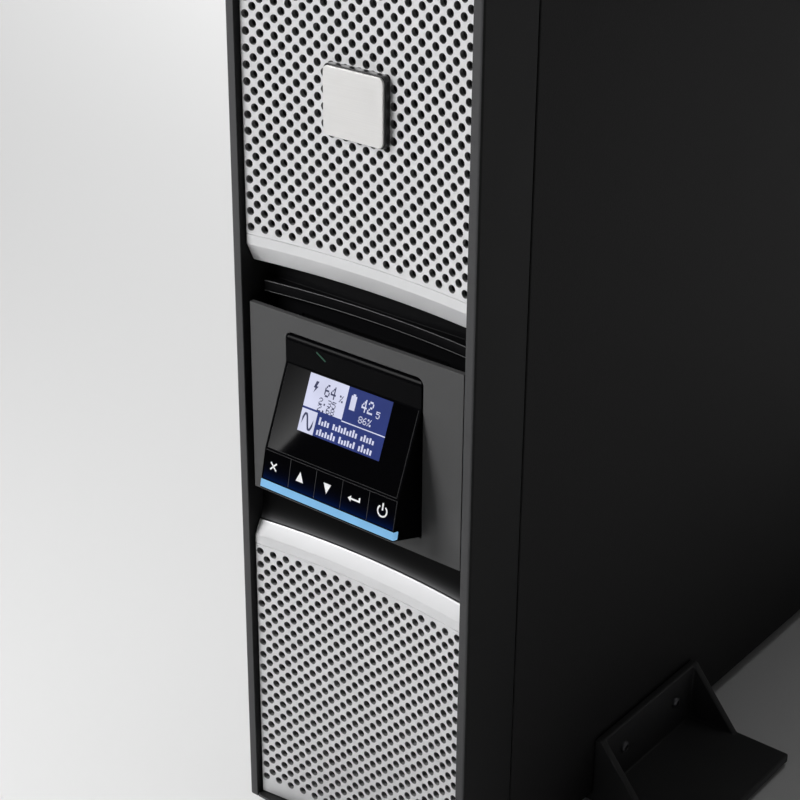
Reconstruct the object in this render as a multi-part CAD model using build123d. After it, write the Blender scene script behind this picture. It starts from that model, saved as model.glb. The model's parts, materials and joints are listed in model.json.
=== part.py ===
from build123d import *
import math
import os

# An online uninterruptible power supply standing upright as a tower, in millimetres.
# X runs across it, the front faces -Y and Z is up. The origin is on the floor, under the middle of the
# box that holds the whole unit. The front is a dark moulded bezel with two concave silver grilles and,
# between them, a flat control plate whose display pod tilts out on two trunnions at its top.

# Case
case_width = 130.0
case_height = 440.0
case_depth = 649.0
sheet = 1.2
seam = 1.0

# Bezel
bezel_depth = 35.5
rail_width = 5.0
rail_edge_radius = 1.5
cap_thickness = 2.0

# Grilles: both hang on one concave arc across the front
grille_edge_y = 2.9
grille_sagitta = 4.4
grille_wall = 2.0
grille_side_gap = 0.5
grille_end_gap = 0.3
bevel_start = 72.0
bevel_end = 63.3
bevel_depth = 4.2
skirt_wall = 2.0
filter_y = 20.0
filter_thickness = 3.0

# Bay behind the control plate, with a rib along each finger channel
bay_y = 16.5
bay_wall = 2.5
bay_overlap = 4.0
rib_low = 48.5
rib_high = 53.2
rib_edge_y = 10.0
rib_end_gap = 3.0

# Control plate
plate_y = 2.5
plate_wall = 2.5
plate_side_gap = 2.0
plate_half_height = 45.6
opening_half = 37.5
opening_corner = 3.5
stay_width = 5.0
stay_side_margin = 1.0
stay_end_margin = 8.0

# Well behind the opening
well_wall = 2.0
well_clearance = 0.5
well_back_gap = 2.0

# Display pod, drawn at the tilt it rests at
pod_half_width = 37.0
pod_gap = 0.6
pod_tilt = 22.0
pod_open_more = 23.0
pod_face_y = 2.0
nose_radius = 3.4
pod_corner = 3.5
bend_drop = 10.0
bend_radius = 3.0
face_length = 39.4
strip_tilt = 12.0
strip_length = 18.0
pod_back_margin = 1.5
trunnion_radius = 1.5
trunnion_clearance = 0.05
trunnion_end_gap = 0.3
trunnion_relief = 0.3

# Screen
lens_wall = 1.0
lens_side_rim = 1.0
lens_top_rim = 0.6
lens_bottom_rim = 0.8
screen_width = 45.4
screen_height = 25.7
screen_drop = 0.3
screen_recess = 0.3

# Keys and light bar on the strip below the screen
key_count = 5
key_pitch = 14.6
key_gap = 0.4
key_height = 12.9
key_top_gap = 0.35
key_thickness = 2.0
key_travel = 0.6
key_floor_gap = 0.3
bar_height = 3.7
bar_thickness = 3.0
bar_lip = 0.4
bar_side_proud = 0.3

# Badge on the upper grille
badge_width = 32.0
badge_height = 30.0
badge_plate_wall = 1.2
badge_plate_margin = 0.6
badge_y = 3.0
badge_corner = 2.5

# Tower stands and their pads
pad_thickness = 2.0
pad_radius = 9.0
pad_inset = 16.0
stand_floor = 5.0
stand_reach = 60.0
stand_length = 90.0
stand_wall = 4.0
stand_wall_height = 32.0
stand_side_gap = 0.3
stand_front_setback = 70.0
stand_rear_setback = 60.0
gusset_reach = 26.0
gusset_wall = 4.0

# Inside
battery_height = 190.0
power_top_gap = 22.0
inner_side_gap = 4.8
inner_setback = 80.0
inner_back_gap = 10.0

# Rear panel, laid out downwards from the top with one gap between rows
row_gap = 10.0
fan_size = 80.0
fan_depth = 25.0
fan_duct = 37.0
fan_corner = 4.0
hub_radius = 17.0
blade_count = 7
blade_wall = 1.6
blade_gap = 1.5
blade_twist = 38.0
strut_width = 5.0
strut_depth = 4.0
strut_bite = 2.0
guard_wire = 1.8
guard_first_ring = 10.0
guard_ring_step = 8.0
guard_ring_count = 5
cross_turns = (45, 135)
column_margin = 14.0
outlet_count = 4
outlet_gap = 5.0
outlet_width = 30.0
outlet_height = 22.0
outlet_depth = 22.0
outlet_proud = 2.5
slot_cover_width = 42.0
slot_cover_height = 108.0
slot_cover_wall = 1.5
port_width = 42.0
port_height = 16.0
port_depth = 8.0
port_proud = 1.5
breaker_width = 36.0
breaker_height = 46.0
breaker_depth = 30.0
breaker_proud = 6.0
toggle_width = 14.0
toggle_height = 12.0
toggle_proud = 7.0
connector_width = 34.0
connector_height = 16.0
connector_depth = 22.0
connector_proud = 6.0
terminal_side_gap = 9.0
terminal_height = 67.4
terminal_bottom_gap = 11.0
terminal_proud = 18.0

# Frame of the whole unit
pod_lean = math.radians(pod_tilt)
strip_lean = math.radians(strip_tilt)
half_width = case_width / 2
case_z = pad_thickness + stand_floor
middle = case_z + case_height / 2
top = case_z + case_height
nose_y = pod_face_y + nose_radius
key_line_y = pod_face_y - face_length * math.sin(pod_lean)
pod_lip_y = key_line_y - strip_length * math.sin(strip_lean)
whole_depth = bezel_depth + seam + case_depth + terminal_proud - pod_lip_y
front = -whole_depth / 2 - pod_lip_y
case_y = front + bezel_depth + seam
rear = case_y + case_depth
inner_x = half_width - sheet
inside_rails = half_width - rail_width
plate_half_width = inside_rails - plate_side_gap

# Rear rows: as many fans as the height leaves room for, above the fittings and the terminal cover
left_column_x = column_margin + slot_cover_width / 2 - half_width
right_column_x = half_width - column_margin - breaker_width / 2
guard_rings = [guard_first_ring + index * guard_ring_step for index in range(guard_ring_count)]
fan_reach = guard_rings[-1] + guard_wire / 2
outlets_height = outlet_count * (outlet_height + outlet_gap) - outlet_gap
right_column_height = outlets_height + row_gap + breaker_height
left_column_height = slot_cover_height + port_height + connector_height + 2 * row_gap
terminal_top = case_z + terminal_bottom_gap + terminal_height
rows_low = terminal_top + row_gap
fans_low = rows_low + max(left_column_height, right_column_height) + row_gap
fan_count = max(1, int((top - row_gap - fans_low) / (2 * fan_reach)))
fan_centres = [top - row_gap - fan_reach - index * 2 * fan_reach for index in range(fan_count)]
rows_top = fan_centres[-1] - fan_reach - row_gap

# Pod pivot and the arc that its bottom sweeps
pivot_y = front + nose_y
pivot_z = middle + opening_half - pod_gap - nose_radius
sweep_radius = pivot_z - (middle - opening_half) - pod_gap
back_angle = math.radians(pod_open_more + pod_back_margin)
back_turn = back_angle + math.asin(nose_radius / sweep_radius)
closed_angle = back_turn + pod_lean
well_back_y = pivot_y + sweep_radius * math.sin(closed_angle) + well_back_gap

# Two points this near to each other are one
same_place = 0.01

made = {}


def slab(x0, x1, y0, y1, z0, z1):
    """A box between two corners."""
    return Pos((x0 + x1) / 2, (y0 + y1) / 2, (z0 + z1) / 2) * Box(x1 - x0, y1 - y0, z1 - z0)


def both_sides(piece):
    """A piece and its mirror image across the middle plane."""
    return [piece, mirror(piece, Plane.YZ)]


def rod(radius, start, end):
    """A round bar from one point to another."""
    start, end = Vector(*start), Vector(*end)
    plane = Plane(origin=start, z_dir=end - start)
    return Solid.extrude(Face(Wire.make_circle(radius, plane)), end - start)


def arc_point(x, behind=0.0):
    """Where the concave front arc is at x, with more depth behind it."""
    radius = (inside_rails**2 + grille_sagitta**2) / (2 * grille_sagitta)
    deepest = front + grille_edge_y + grille_sagitta
    return deepest - radius + math.sqrt(radius**2 - x**2) + behind


def arc_band(half, near, far, z):
    """A flat face at height z between two copies of the concave arc."""
    near_edge = ThreePointArc(
        (-half, arc_point(half, near), z), (0, arc_point(0, near), z), (half, arc_point(half, near), z)
    )
    far_edge = ThreePointArc(
        (-half, arc_point(half, far), z), (0, arc_point(0, far), z), (half, arc_point(half, far), z)
    )
    ends = [Line(near_edge @ 0, far_edge @ 0), Line(near_edge @ 1, far_edge @ 1)]
    return Face(Wire.combine([near_edge.edge(), far_edge.edge(), ends[0].edge(), ends[1].edge()])[0])


def arc_to_flat(half, near, flat_y, z):
    """A flat face at height z from the concave arc straight back to a plane."""
    near_edge = ThreePointArc(
        (-half, arc_point(half, near), z), (0, arc_point(0, near), z), (half, arc_point(half, near), z)
    )
    left, right = (-half, flat_y, z), (half, flat_y, z)
    sides = [Line(near_edge @ 0, left), Line(left, right), Line(right, near_edge @ 1)]
    return Face(Wire.combine([near_edge.edge()] + [side.edge() for side in sides])[0])


def bezel():
    """Two side rails and two thin caps, face to face with the case's front."""
    back = front + bezel_depth
    rail = slab(inside_rails, half_width, front, back, case_z, top)
    front_corner = rail.edges().filter_by(Axis.Z).sort_by(lambda e: e.center().Y - e.center().X)[0]
    rail = fillet(front_corner, rail_edge_radius)
    made["bezel_right_rail"], made["bezel_left_rail"] = both_sides(rail)
    across = (-inside_rails, inside_rails)
    made["bezel_top_cap"] = slab(*across, front, back, top - cap_thickness, top)
    made["bezel_bottom_cap"] = slab(*across, front, back, case_z, case_z + cap_thickness)


def grille():
    """The upper grille: a concave face, its bevel towards the controls and two side skirts."""
    half = inside_rails - grille_side_gap
    low, high = middle + bevel_start, top - cap_thickness - grille_end_gap
    end = middle + bevel_end
    section = arc_band(half, 0, grille_wall, low)
    face = Solid.extrude(section, Vector(0, 0, high - low))
    bevel = Solid.extrude(section, Vector(0, bevel_depth, end - low))
    body = face + bevel
    edge_y = arc_point(half)
    for side in (-1, 1):
        x0, x1 = sorted((side * half, side * (half - skirt_wall)))
        body += slab(x0, x1, edge_y + grille_wall, front + bezel_depth, low, high)
    return body


def grilles():
    """Both grilles and the dust filter that each holds between its skirts."""
    upper = grille()
    across = Plane.XY.offset(middle)
    made["upper_grille"], made["lower_grille"] = upper, mirror(upper, across)
    half = inside_rails - grille_side_gap - skirt_wall
    low, high = middle + bevel_start, top - cap_thickness - grille_end_gap
    near = front + filter_y
    dust = slab(-half, half, near, near + filter_thickness, low, high)
    made["dust_filters"] = Compound([dust, mirror(dust, across)])


def bay():
    """The black tray behind the control plate: its floor, a wall behind each bevel and two ribs."""
    half = inside_rails - grille_side_gap
    reach = bevel_end + bay_overlap
    near = front + bay_y
    floor = slab(-half, half, near, near + bay_wall, middle - reach, middle + reach)
    hole = opening_half + well_wall + well_clearance
    floor -= slab(-hole, hole, near - bay_wall, near + 2 * bay_wall, middle - hole, middle + hole)
    section = arc_to_flat(half, bevel_depth + grille_wall, near, middle + bevel_end)
    tray_wall = Solid.extrude(section, Vector(0, 0, bay_wall))
    floor += tray_wall + mirror(tray_wall, Plane.XY.offset(middle))
    rib_half = half - rib_end_gap
    behind = rib_edge_y - grille_edge_y
    rib_section = arc_to_flat(rib_half, behind, near, middle + rib_low)
    rib = Solid.extrude(rib_section, Vector(0, 0, rib_high - rib_low))
    made["bay_back"] = floor + rib + mirror(rib, Plane.XY.offset(middle))


def pod_window(y0, y1):
    """A square bar along Y, centred on the controls, with its two upper corners rounded."""
    plane = Plane(origin=(0, y0, middle), x_dir=(1, 0, 0), z_dir=(0, 1, 0))
    width = 2 * opening_half
    bar = extrude(plane * RectangleRounded(width, width, opening_corner), y1 - y0)
    return bar + slab(-opening_half, opening_half, y0, y1, middle - opening_half, middle)


def control_plate():
    """The flat plate round the pod, standing off the channel floor on two stays."""
    near, far = front + plate_y, front + plate_y + plate_wall
    low, high = middle - plate_half_height, middle + plate_half_height
    body = slab(-plate_half_width, plate_half_width, near, far, low, high)
    body -= pod_window(near - plate_wall, far + plate_wall)
    relief_end = opening_half + well_wall
    relief = trunnion_radius + trunnion_relief
    body -= rod(relief, (-relief_end, pivot_y, pivot_z), (relief_end, pivot_y, pivot_z))
    outer = plate_half_width - stay_side_margin
    stay_half = plate_half_height - stay_end_margin
    stay = slab(outer - stay_width, outer, far, front + bay_y, middle - stay_half, middle + stay_half)
    for piece in both_sides(stay):
        body += piece
    made["control_plate"] = body


def pod_well():
    """The box behind the opening, with a bore in each side wall for the pod's trunnions."""
    near = front + plate_y + plate_wall
    outer = opening_half + well_wall
    body = slab(-outer, outer, near, well_back_y + well_wall, middle - outer, middle + outer)
    low, high = middle - opening_half, middle + opening_half
    body -= slab(-opening_half, opening_half, near - well_wall, well_back_y, low, high)
    bore = trunnion_radius + trunnion_clearance
    beyond = outer + well_wall
    body -= rod(bore, (-beyond, pivot_y, pivot_z), (beyond, pivot_y, pivot_z))
    made["pod_well"] = body


def pod_points():
    """The corners of the pod's side outline, as (y, z)."""
    face_y = pivot_y - nose_radius
    bend = (face_y, pivot_z - bend_drop)
    key_line = (
        bend[0] - face_length * math.sin(pod_lean),
        bend[1] - face_length * math.cos(pod_lean),
    )
    lip = (
        key_line[0] - strip_length * math.sin(strip_lean),
        key_line[1] - strip_length * math.cos(strip_lean),
    )
    return bend, key_line, lip


def pod_place(start, lean, down, into=0.0):
    """A point so far down a leaning face and so deep behind it, as (y, z)."""
    return (
        start[0] - down * math.sin(lean) + into * math.cos(lean),
        start[1] - down * math.cos(lean) - into * math.sin(lean),
    )


def leaning_block(x0, x1, start, lean, down0, down1, into0, into1):
    """A block set square to a leaning face of the pod."""
    corners = [
        pod_place(start, lean, down0, into0),
        pod_place(start, lean, down1, into0),
        pod_place(start, lean, down1, into1),
        pod_place(start, lean, down0, into1),
    ]
    outline = Wire.make_polygon([Vector(x0, y, z) for y, z in corners], close=True)
    return Solid.extrude(Face(outline), Vector(x1 - x0, 0, 0))


def pod_wedge():
    """The pod's solid outline: nose, top facet, leaning face, key strip and swept bottom."""
    bend, key_line, lip = pod_points()
    x = -pod_half_width
    under_angle = math.asin((pivot_y - front - plate_y) / sweep_radius)

    def swept(angle):
        return (x, pivot_y + sweep_radius * math.sin(angle), pivot_z - sweep_radius * math.cos(angle))

    under, back = swept(-under_angle), swept(back_turn)

    def on_nose(angle):
        return (x, pivot_y + nose_radius * math.cos(angle), pivot_z + nose_radius * math.sin(angle))

    nose_back, nose_front = on_nose(back_angle), on_nose(math.pi)
    nose_top = on_nose((math.pi + back_angle) / 2)
    edges = [
        Line(nose_front, (x, *bend)),
        Line((x, *bend), (x, *key_line)),
        Line((x, *key_line), (x, *lip)),
        Line((x, *lip), under),
        ThreePointArc(under, swept((back_turn - under_angle) / 2), back),
        Line(back, nose_back),
        ThreePointArc(nose_back, nose_top, nose_front),
    ]
    outline = Face(Wire.combine([e.edge() for e in edges])[0])
    wedge = Solid.extrude(outline, Vector(2 * pod_half_width, 0, 0))
    bend_edges = [
        e
        for e in wedge.edges().filter_by(Axis.X)
        if math.dist((e.center().Y, e.center().Z), bend) < same_place
    ]
    return wedge.fillet(bend_radius, bend_edges)


def pod():
    """The tilting display pod: housing with trunnions, lens, screen, light bar and keys."""
    bend, key_line = pod_points()[:2]
    housing = pod_wedge()
    nose_top = pivot_z + nose_radius
    ahead = (0, front - sweep_radius, nose_top - sweep_radius)
    plane = Plane(origin=ahead, x_dir=(1, 0, 0), z_dir=(0, 1, 0))
    blank = RectangleRounded(2 * pod_half_width, 2 * sweep_radius, pod_corner)
    housing = housing & extrude(plane * blank, 3 * sweep_radius)
    end = opening_half + well_wall - trunnion_end_gap
    for side in (-1, 1):
        root = side * (pod_half_width - pod_corner)
        housing += rod(trunnion_radius, (root, pivot_y, pivot_z), (side * end, pivot_y, pivot_z))

    lens_half = pod_half_width - lens_side_rim
    lens_low = face_length - lens_bottom_rim
    lens = leaning_block(-lens_half, lens_half, bend, pod_lean, lens_top_rim, lens_low, 0, lens_wall)
    housing -= lens
    screen_low = screen_drop + lens_top_rim + screen_height
    half = screen_width / 2
    screen_top = screen_drop + lens_top_rim
    window = (-half, half, bend, pod_lean, screen_top, screen_low)
    screen = leaning_block(*window, screen_recess, lens_wall)
    lens -= leaning_block(*window, -lens_wall, lens_wall)

    bar_low = strip_length - bar_lip
    bar_top = bar_low - bar_height
    bar_half = pod_half_width + bar_side_proud
    bar = leaning_block(-bar_half, bar_half, key_line, strip_lean, bar_top, bar_low, 0, bar_thickness)
    housing -= bar
    made["light_bar"] = bar

    key_low = key_top_gap + key_height
    pocket_half = key_count * key_pitch / 2
    floor_depth = key_thickness + key_travel + key_floor_gap
    pocket_top, pocket_low = key_top_gap - key_gap / 2, key_low + key_gap / 2
    pocket = (-pocket_half, pocket_half, key_line, strip_lean, pocket_top, pocket_low)
    housing -= leaning_block(*pocket, -key_travel, floor_depth)
    names = ("key_escape", "key_up", "key_down", "key_enter", "key_power")
    for index, name in enumerate(names):
        x0 = -pocket_half + index * key_pitch + key_gap / 2
        x1 = x0 + key_pitch - key_gap
        made[name] = leaning_block(x0, x1, key_line, strip_lean, key_top_gap, key_low, 0, key_thickness)
    made["pod_housing"] = housing
    made["screen_lens"] = lens
    made["display_panel"] = screen


def badge():
    """A small plaque on the middle of the upper grille: a ribbed base and a bare face plate."""
    grille_top = top - cap_thickness - grille_end_gap
    z = (middle + bevel_start + grille_top) / 2
    near = front + badge_y
    plane = Plane(origin=(0, near, z), x_dir=(1, 0, 0), z_dir=(0, 1, 0))
    margin = 2 * badge_plate_margin
    face = RectangleRounded(badge_width - margin, badge_height - margin, badge_corner)
    made["badge_plate"] = extrude(plane * face, badge_plate_wall)
    base_plane = plane.offset(badge_plate_wall)
    depth = arc_point(0) - near - badge_plate_wall
    block = extrude(base_plane * RectangleRounded(badge_width, badge_height, badge_corner), depth)
    section = arc_to_flat(badge_width, 0, arc_point(0) + depth, z - badge_height)
    made["badge_base"] = block - Solid.extrude(section, Vector(0, 0, 2 * badge_height))


def case():
    """The sheet metal case: a bulkhead behind the bezel, four long panels and the rear panel."""
    hole = opening_half + well_wall + well_clearance
    back = front + bezel_depth
    bulkhead = slab(-inner_x, inner_x, back, back + seam + sheet, case_z + sheet, top - sheet)
    bulkhead -= slab(-hole, hole, back - sheet, back + seam + 2 * sheet, middle - hole, middle + hole)
    made["front_bulkhead"] = bulkhead
    side = slab(inner_x, half_width, case_y, rear, case_z, top)
    made["right_side_panel"], made["left_side_panel"] = both_sides(side)
    made["top_panel"] = slab(-inner_x, inner_x, case_y, rear, top - sheet, top)
    made["bottom_panel"] = slab(-inner_x, inner_x, case_y, rear, case_z, case_z + sheet)


def inside():
    """The battery pack on the case's floor and the power electronics stacked on it."""
    half = inner_x - inner_side_gap
    near = case_y + inner_setback
    far = rear - max(sheet + fan_depth, breaker_depth, outlet_depth) - inner_back_gap
    shelf = case_z + sheet + battery_height
    made["battery_pack"] = slab(-half, half, near, far, case_z + sheet, shelf)
    made["power_stack"] = slab(-half, half, near, far, shelf, top - sheet - power_top_gap)


def rear_panel():
    """The rear panel with its cut-outs."""
    body = slab(-inner_x, inner_x, rear - sheet, rear, case_z + sheet, top - sheet)
    for z in fan_centres:
        body -= rod(fan_duct, (0, rear - 2 * sheet, z), (0, rear + sheet, z))
    made["rear_panel"] = body


def ring(outer, inner, y0, y1, z):
    """A flat ring about an axis along Y."""
    depth = y1 - y0
    return rod(outer, (0, y0, z), (0, y1, z)) - rod(inner, (0, y0 - depth, z), (0, y1 + depth, z))


def fan_frame(z):
    """A square fan frame with its round duct and a motor seat held by a cross of struts."""
    near, far = rear - sheet - fan_depth, rear - sheet
    plane = Plane(origin=(0, near, z), x_dir=(1, 0, 0), z_dir=(0, 1, 0))
    frame = extrude(plane * RectangleRounded(fan_size, fan_size, fan_corner), fan_depth)
    frame -= rod(fan_duct, (0, near - fan_depth, z), (0, far + fan_depth, z))
    reach = fan_duct + strut_bite
    strut = Box(2 * reach, strut_depth, strut_width)
    for turn in cross_turns:
        frame += Pos(0, near + strut_depth / 2, z) * Rot(0, turn, 0) * strut
    return frame + rod(hub_radius, (0, near, z), (0, near + strut_depth, z))


def fan_rotor(z):
    """A hub with twisted blades, face to face with the motor seat."""
    near, far = rear - sheet - fan_depth + strut_depth, rear - sheet - blade_gap
    rotor = rod(hub_radius, (0, near, z), (0, far, z))
    root = hub_radius / 2
    length = fan_duct - blade_gap - root
    chord = (far - near - blade_gap) / math.cos(math.radians(blade_twist))
    for index in range(blade_count):
        blade = Rot(90 - blade_twist, 0, 0) * Box(length, blade_wall, chord)
        around = Pos(0, (near + far) / 2, z) * Rot(0, index * 360 / blade_count, 0)
        rotor += around * Pos(root + length / 2, 0, 0) * blade
    return rotor


def fan_guard(z):
    """Flat wire rings crossed by two bars, on the outside of the rear panel."""
    y0, y1 = rear, rear + guard_wire
    half = guard_wire / 2
    guard = [ring(radius + half, radius - half, y0, y1, z) for radius in guard_rings]
    bar = Box(2 * fan_reach, guard_wire, guard_wire)
    for turn in cross_turns:
        guard.append(Pos(0, y0 + half, z) * Rot(0, turn, 0) * bar)
    return guard[0].fuse(*guard[1:])


def fans():
    """Two axial fans behind the panel, each with a guard over it."""
    for node, make in (("fan_frames", fan_frame), ("fan_rotors", fan_rotor), ("fan_guards", fan_guard)):
        made[node] = Compound([make(z) for z in fan_centres])


def set_in(x, z_top, width, height, depth, proud):
    """A block set through the rear panel, its top at z_top, and the cut-out that it needs."""
    x0, x1, z0 = x - width / 2, x + width / 2, z_top - height
    cut = slab(x0, x1, rear - 2 * sheet, rear + sheet, z0, z_top)
    return slab(x0, x1, rear - depth, rear + proud, z0, z_top), cut


def rear_fittings():
    """Two columns of fittings under the fans, and the terminal cover below both."""
    cuts = []
    z = rows_top
    half = slot_cover_width / 2
    made["card_slot_cover"] = slab(
        left_column_x - half, left_column_x + half, rear, rear + slot_cover_wall, z - slot_cover_height, z
    )
    z -= slot_cover_height + row_gap
    made["port_block"], cut = set_in(left_column_x, z, port_width, port_height, port_depth, port_proud)
    cuts.append(cut)
    z -= port_height + row_gap
    made["battery_connector"], cut = set_in(
        left_column_x, z, connector_width, connector_height, connector_depth, connector_proud
    )
    cuts.append(cut)

    outlets = []
    z = rows_top
    for index in range(outlet_count):
        block, cut = set_in(right_column_x, z, outlet_width, outlet_height, outlet_depth, outlet_proud)
        outlets.append(block)
        cuts.append(cut)
        z -= outlet_height + outlet_gap
    made["outlets"] = Compound(outlets)
    z -= row_gap - outlet_gap
    made["breaker"], cut = set_in(
        right_column_x, z, breaker_width, breaker_height, breaker_depth, breaker_proud
    )
    cuts.append(cut)
    toggle_z = z - breaker_height / 2
    toggle_y = rear + breaker_proud
    made["breaker_toggle"] = slab(
        right_column_x - toggle_width / 2,
        right_column_x + toggle_width / 2,
        toggle_y,
        toggle_y + toggle_proud,
        toggle_z - toggle_height / 2,
        toggle_z + toggle_height / 2,
    )
    half = half_width - terminal_side_gap
    made["terminal_cover"] = slab(
        -half, half, rear, rear + terminal_proud, case_z + terminal_bottom_gap, terminal_top
    )
    for cut in cuts:
        made["rear_panel"] -= cut


def stands():
    """Two stands under the case, each of a left and a right half, with two pads under each half."""
    inner = half_width + stand_side_gap
    centres = (
        case_y + stand_front_setback + stand_length / 2,
        rear - stand_rear_setback - stand_length / 2,
    )
    for name, y in zip(("front", "rear"), centres):
        y0, y1 = y - stand_length / 2, y + stand_length / 2
        half = slab(0, half_width + stand_reach, y0, y1, pad_thickness, case_z)
        half += slab(inner, inner + stand_wall, y0, y1, case_z, case_z + stand_wall_height)
        for edge in (y0, y1 - gusset_wall):
            corners = [
                Vector(inner + stand_wall, edge, case_z),
                Vector(inner + stand_wall + gusset_reach, edge, case_z),
                Vector(inner + stand_wall, edge, case_z + stand_wall_height),
            ]
            outline = Face(Wire.make_polygon(corners, close=True))
            half += Solid.extrude(outline, Vector(0, gusset_wall, 0))
        made[f"{name}_stand_right"], made[f"{name}_stand_left"] = both_sides(half)
        x = half_width + stand_reach - pad_inset
        made[f"{name}_pads"] = Compound([
            rod(pad_radius, (side * x, spot, 0), (side * x, spot, pad_thickness))
            for side in (-1, 1)
            for spot in (y0 + pad_inset, y1 - pad_inset)
        ])


bezel()
grilles()
bay()
control_plate()
pod_well()
pod()
badge()
case()
inside()
rear_panel()
fans()
rear_fittings()
stands()

os.makedirs("parts", exist_ok=True)
for node, shape in made.items():
    export_step(shape, f"parts/{node}.step")
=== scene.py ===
import json
import math

import bmesh
import bpy
from mathutils import Euler, Matrix, Vector
from mathutils.geometry import delaunay_2d_cdt
from mathutils.kdtree import KDTree


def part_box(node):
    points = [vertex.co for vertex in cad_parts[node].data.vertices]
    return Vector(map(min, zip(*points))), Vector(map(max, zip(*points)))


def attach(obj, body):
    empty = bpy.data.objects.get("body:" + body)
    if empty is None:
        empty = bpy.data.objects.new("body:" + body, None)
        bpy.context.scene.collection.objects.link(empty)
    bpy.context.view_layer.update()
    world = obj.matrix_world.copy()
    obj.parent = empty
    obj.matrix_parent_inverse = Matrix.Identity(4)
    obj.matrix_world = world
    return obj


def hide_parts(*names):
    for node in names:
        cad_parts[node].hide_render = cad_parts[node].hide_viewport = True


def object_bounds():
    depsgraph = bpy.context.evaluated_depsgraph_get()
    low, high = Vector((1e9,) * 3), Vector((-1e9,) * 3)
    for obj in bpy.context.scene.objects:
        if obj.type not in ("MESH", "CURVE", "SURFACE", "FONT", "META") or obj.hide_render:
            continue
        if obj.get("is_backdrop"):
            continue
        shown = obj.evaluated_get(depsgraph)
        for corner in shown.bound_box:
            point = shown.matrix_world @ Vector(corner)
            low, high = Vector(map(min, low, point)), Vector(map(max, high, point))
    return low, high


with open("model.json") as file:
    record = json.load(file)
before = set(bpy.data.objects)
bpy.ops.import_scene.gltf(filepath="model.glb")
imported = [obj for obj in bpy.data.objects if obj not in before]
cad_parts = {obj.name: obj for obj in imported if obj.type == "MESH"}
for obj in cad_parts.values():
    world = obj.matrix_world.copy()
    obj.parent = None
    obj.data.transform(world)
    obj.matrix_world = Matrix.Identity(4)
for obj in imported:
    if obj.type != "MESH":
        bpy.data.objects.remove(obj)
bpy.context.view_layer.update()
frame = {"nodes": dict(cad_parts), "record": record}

# The studio: a pale floor that the unit stands on, a soft room, and the photograph's own camera. The
# camera was fitted to the grilles' rows of holes. It looks down on the front's right-hand corner from
# about a metre, a little off the middle of its frame.
PHOTO_SIDE = 800
SENSOR_WIDTH = 36.0
FOCAL_PIXELS = 1940.0
PRINCIPAL_X = 371.3
PRINCIPAL_Y = 373.2
CAMERA_TURN = math.radians(39.42)
CAMERA_DIP = math.radians(25.83)
CAMERA_RIGHT = 0.4709
CAMERA_BEFORE = 0.5581
CAMERA_ABOVE = 0.6031
NEAR_CLIP = 0.01

rail_low, rail_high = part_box("bezel_right_rail")
front_y = rail_low.y
bezel_floor = rail_low.z
bezel_middle = (rail_low.z + rail_high.z) / 2


def placed(name, data):
    """A new object in the scene."""
    thing = bpy.data.objects.new(name, data)
    bpy.context.collection.objects.link(thing)
    return thing


def set_input(tree, socket, value):
    """Gives a node's input a constant or another node's output."""
    if isinstance(value, bpy.types.NodeSocket):
        tree.links.new(value, socket)
    else:
        socket.default_value = value


def set_inputs(tree, node, **values):
    """Gives a node's inputs their values, by name with _ for a space."""
    for key, value in values.items():
        set_input(tree, node.inputs[key.replace("_", " ")], value)


def new_material(name):
    """A new material, its node tree and its shader."""
    material = bpy.data.materials.new(name)
    material.use_nodes = True
    return material, material.node_tree, material.node_tree.nodes["Principled BSDF"]


camera_data = bpy.data.cameras.new("photo_camera")
camera_data.sensor_width = SENSOR_WIDTH
camera_data.lens = FOCAL_PIXELS / PHOTO_SIDE * SENSOR_WIDTH
camera_data.shift_x = 0.5 - PRINCIPAL_X / PHOTO_SIDE
camera_data.shift_y = PRINCIPAL_Y / PHOTO_SIDE - 0.5
camera_data.clip_start = NEAR_CLIP
camera = placed("photo_camera", camera_data)
camera.location = (CAMERA_RIGHT, front_y - CAMERA_BEFORE, bezel_floor + CAMERA_ABOVE)
camera.rotation_euler = Euler((math.pi / 2 - CAMERA_DIP, 0.0, CAMERA_TURN))
bpy.context.scene.camera = camera

FLOOR_REACH = 6.0
floor_mesh = bpy.data.meshes.new("floor")
corners = [(-1, -1), (1, -1), (1, 1), (-1, 1)]
floor_mesh.from_pydata([(x * FLOOR_REACH, y * FLOOR_REACH, 0) for x, y in corners], [], [(0, 1, 2, 3)])
placed("floor", floor_mesh)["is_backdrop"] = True
floor_material, tree, shader = new_material("pale_floor")
set_inputs(tree, shader, Base_Color=(0.8, 0.8, 0.8, 1), Roughness=0.8)
floor_mesh.materials.append(floor_material)

ROOM_STRENGTH = 0.06
world = bpy.data.worlds.new("soft_room")
world.use_nodes = True
tree = world.node_tree
set_inputs(tree, tree.nodes["Background"], Color=(1, 1, 1, 1), Strength=ROOM_STRENGTH)
bpy.context.scene.world = world
bpy.context.scene.view_settings.view_transform = "Standard"


def softbox(name, place, aim, width, height, watts):
    """A rectangular studio light at a place, pointed at another."""
    data = bpy.data.lights.new(name, "AREA")
    data.shape = "RECTANGLE"
    data.size = width
    data.size_y = height
    data.energy = watts
    light = placed(name, data)
    light.location = place
    light.rotation_mode = "QUATERNION"
    light.rotation_quaternion = (Vector(aim) - Vector(place)).to_track_quat("-Z", "Y")
    return light


controls = Vector((0, front_y, bezel_middle))
# Each square light's place and aim, both from the controls, its side and its power.
LIGHTS = {
    "key_light": ((-0.5, -0.68, 0.53), (0, 0, 0), 0.4, 9),
    "top_light": ((-0.3, 0.7, 1.7), (0, 0.3, 0), 1.4, 7),
    "rear_light": ((-0.8, 2.2, 1.0), (0, 0.7, 0), 1.2, 40),
}
for name, (place, aim, side, watts) in LIGHTS.items():
    softbox(name, controls + Vector(place), controls + Vector(aim), side, side, watts)

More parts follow.
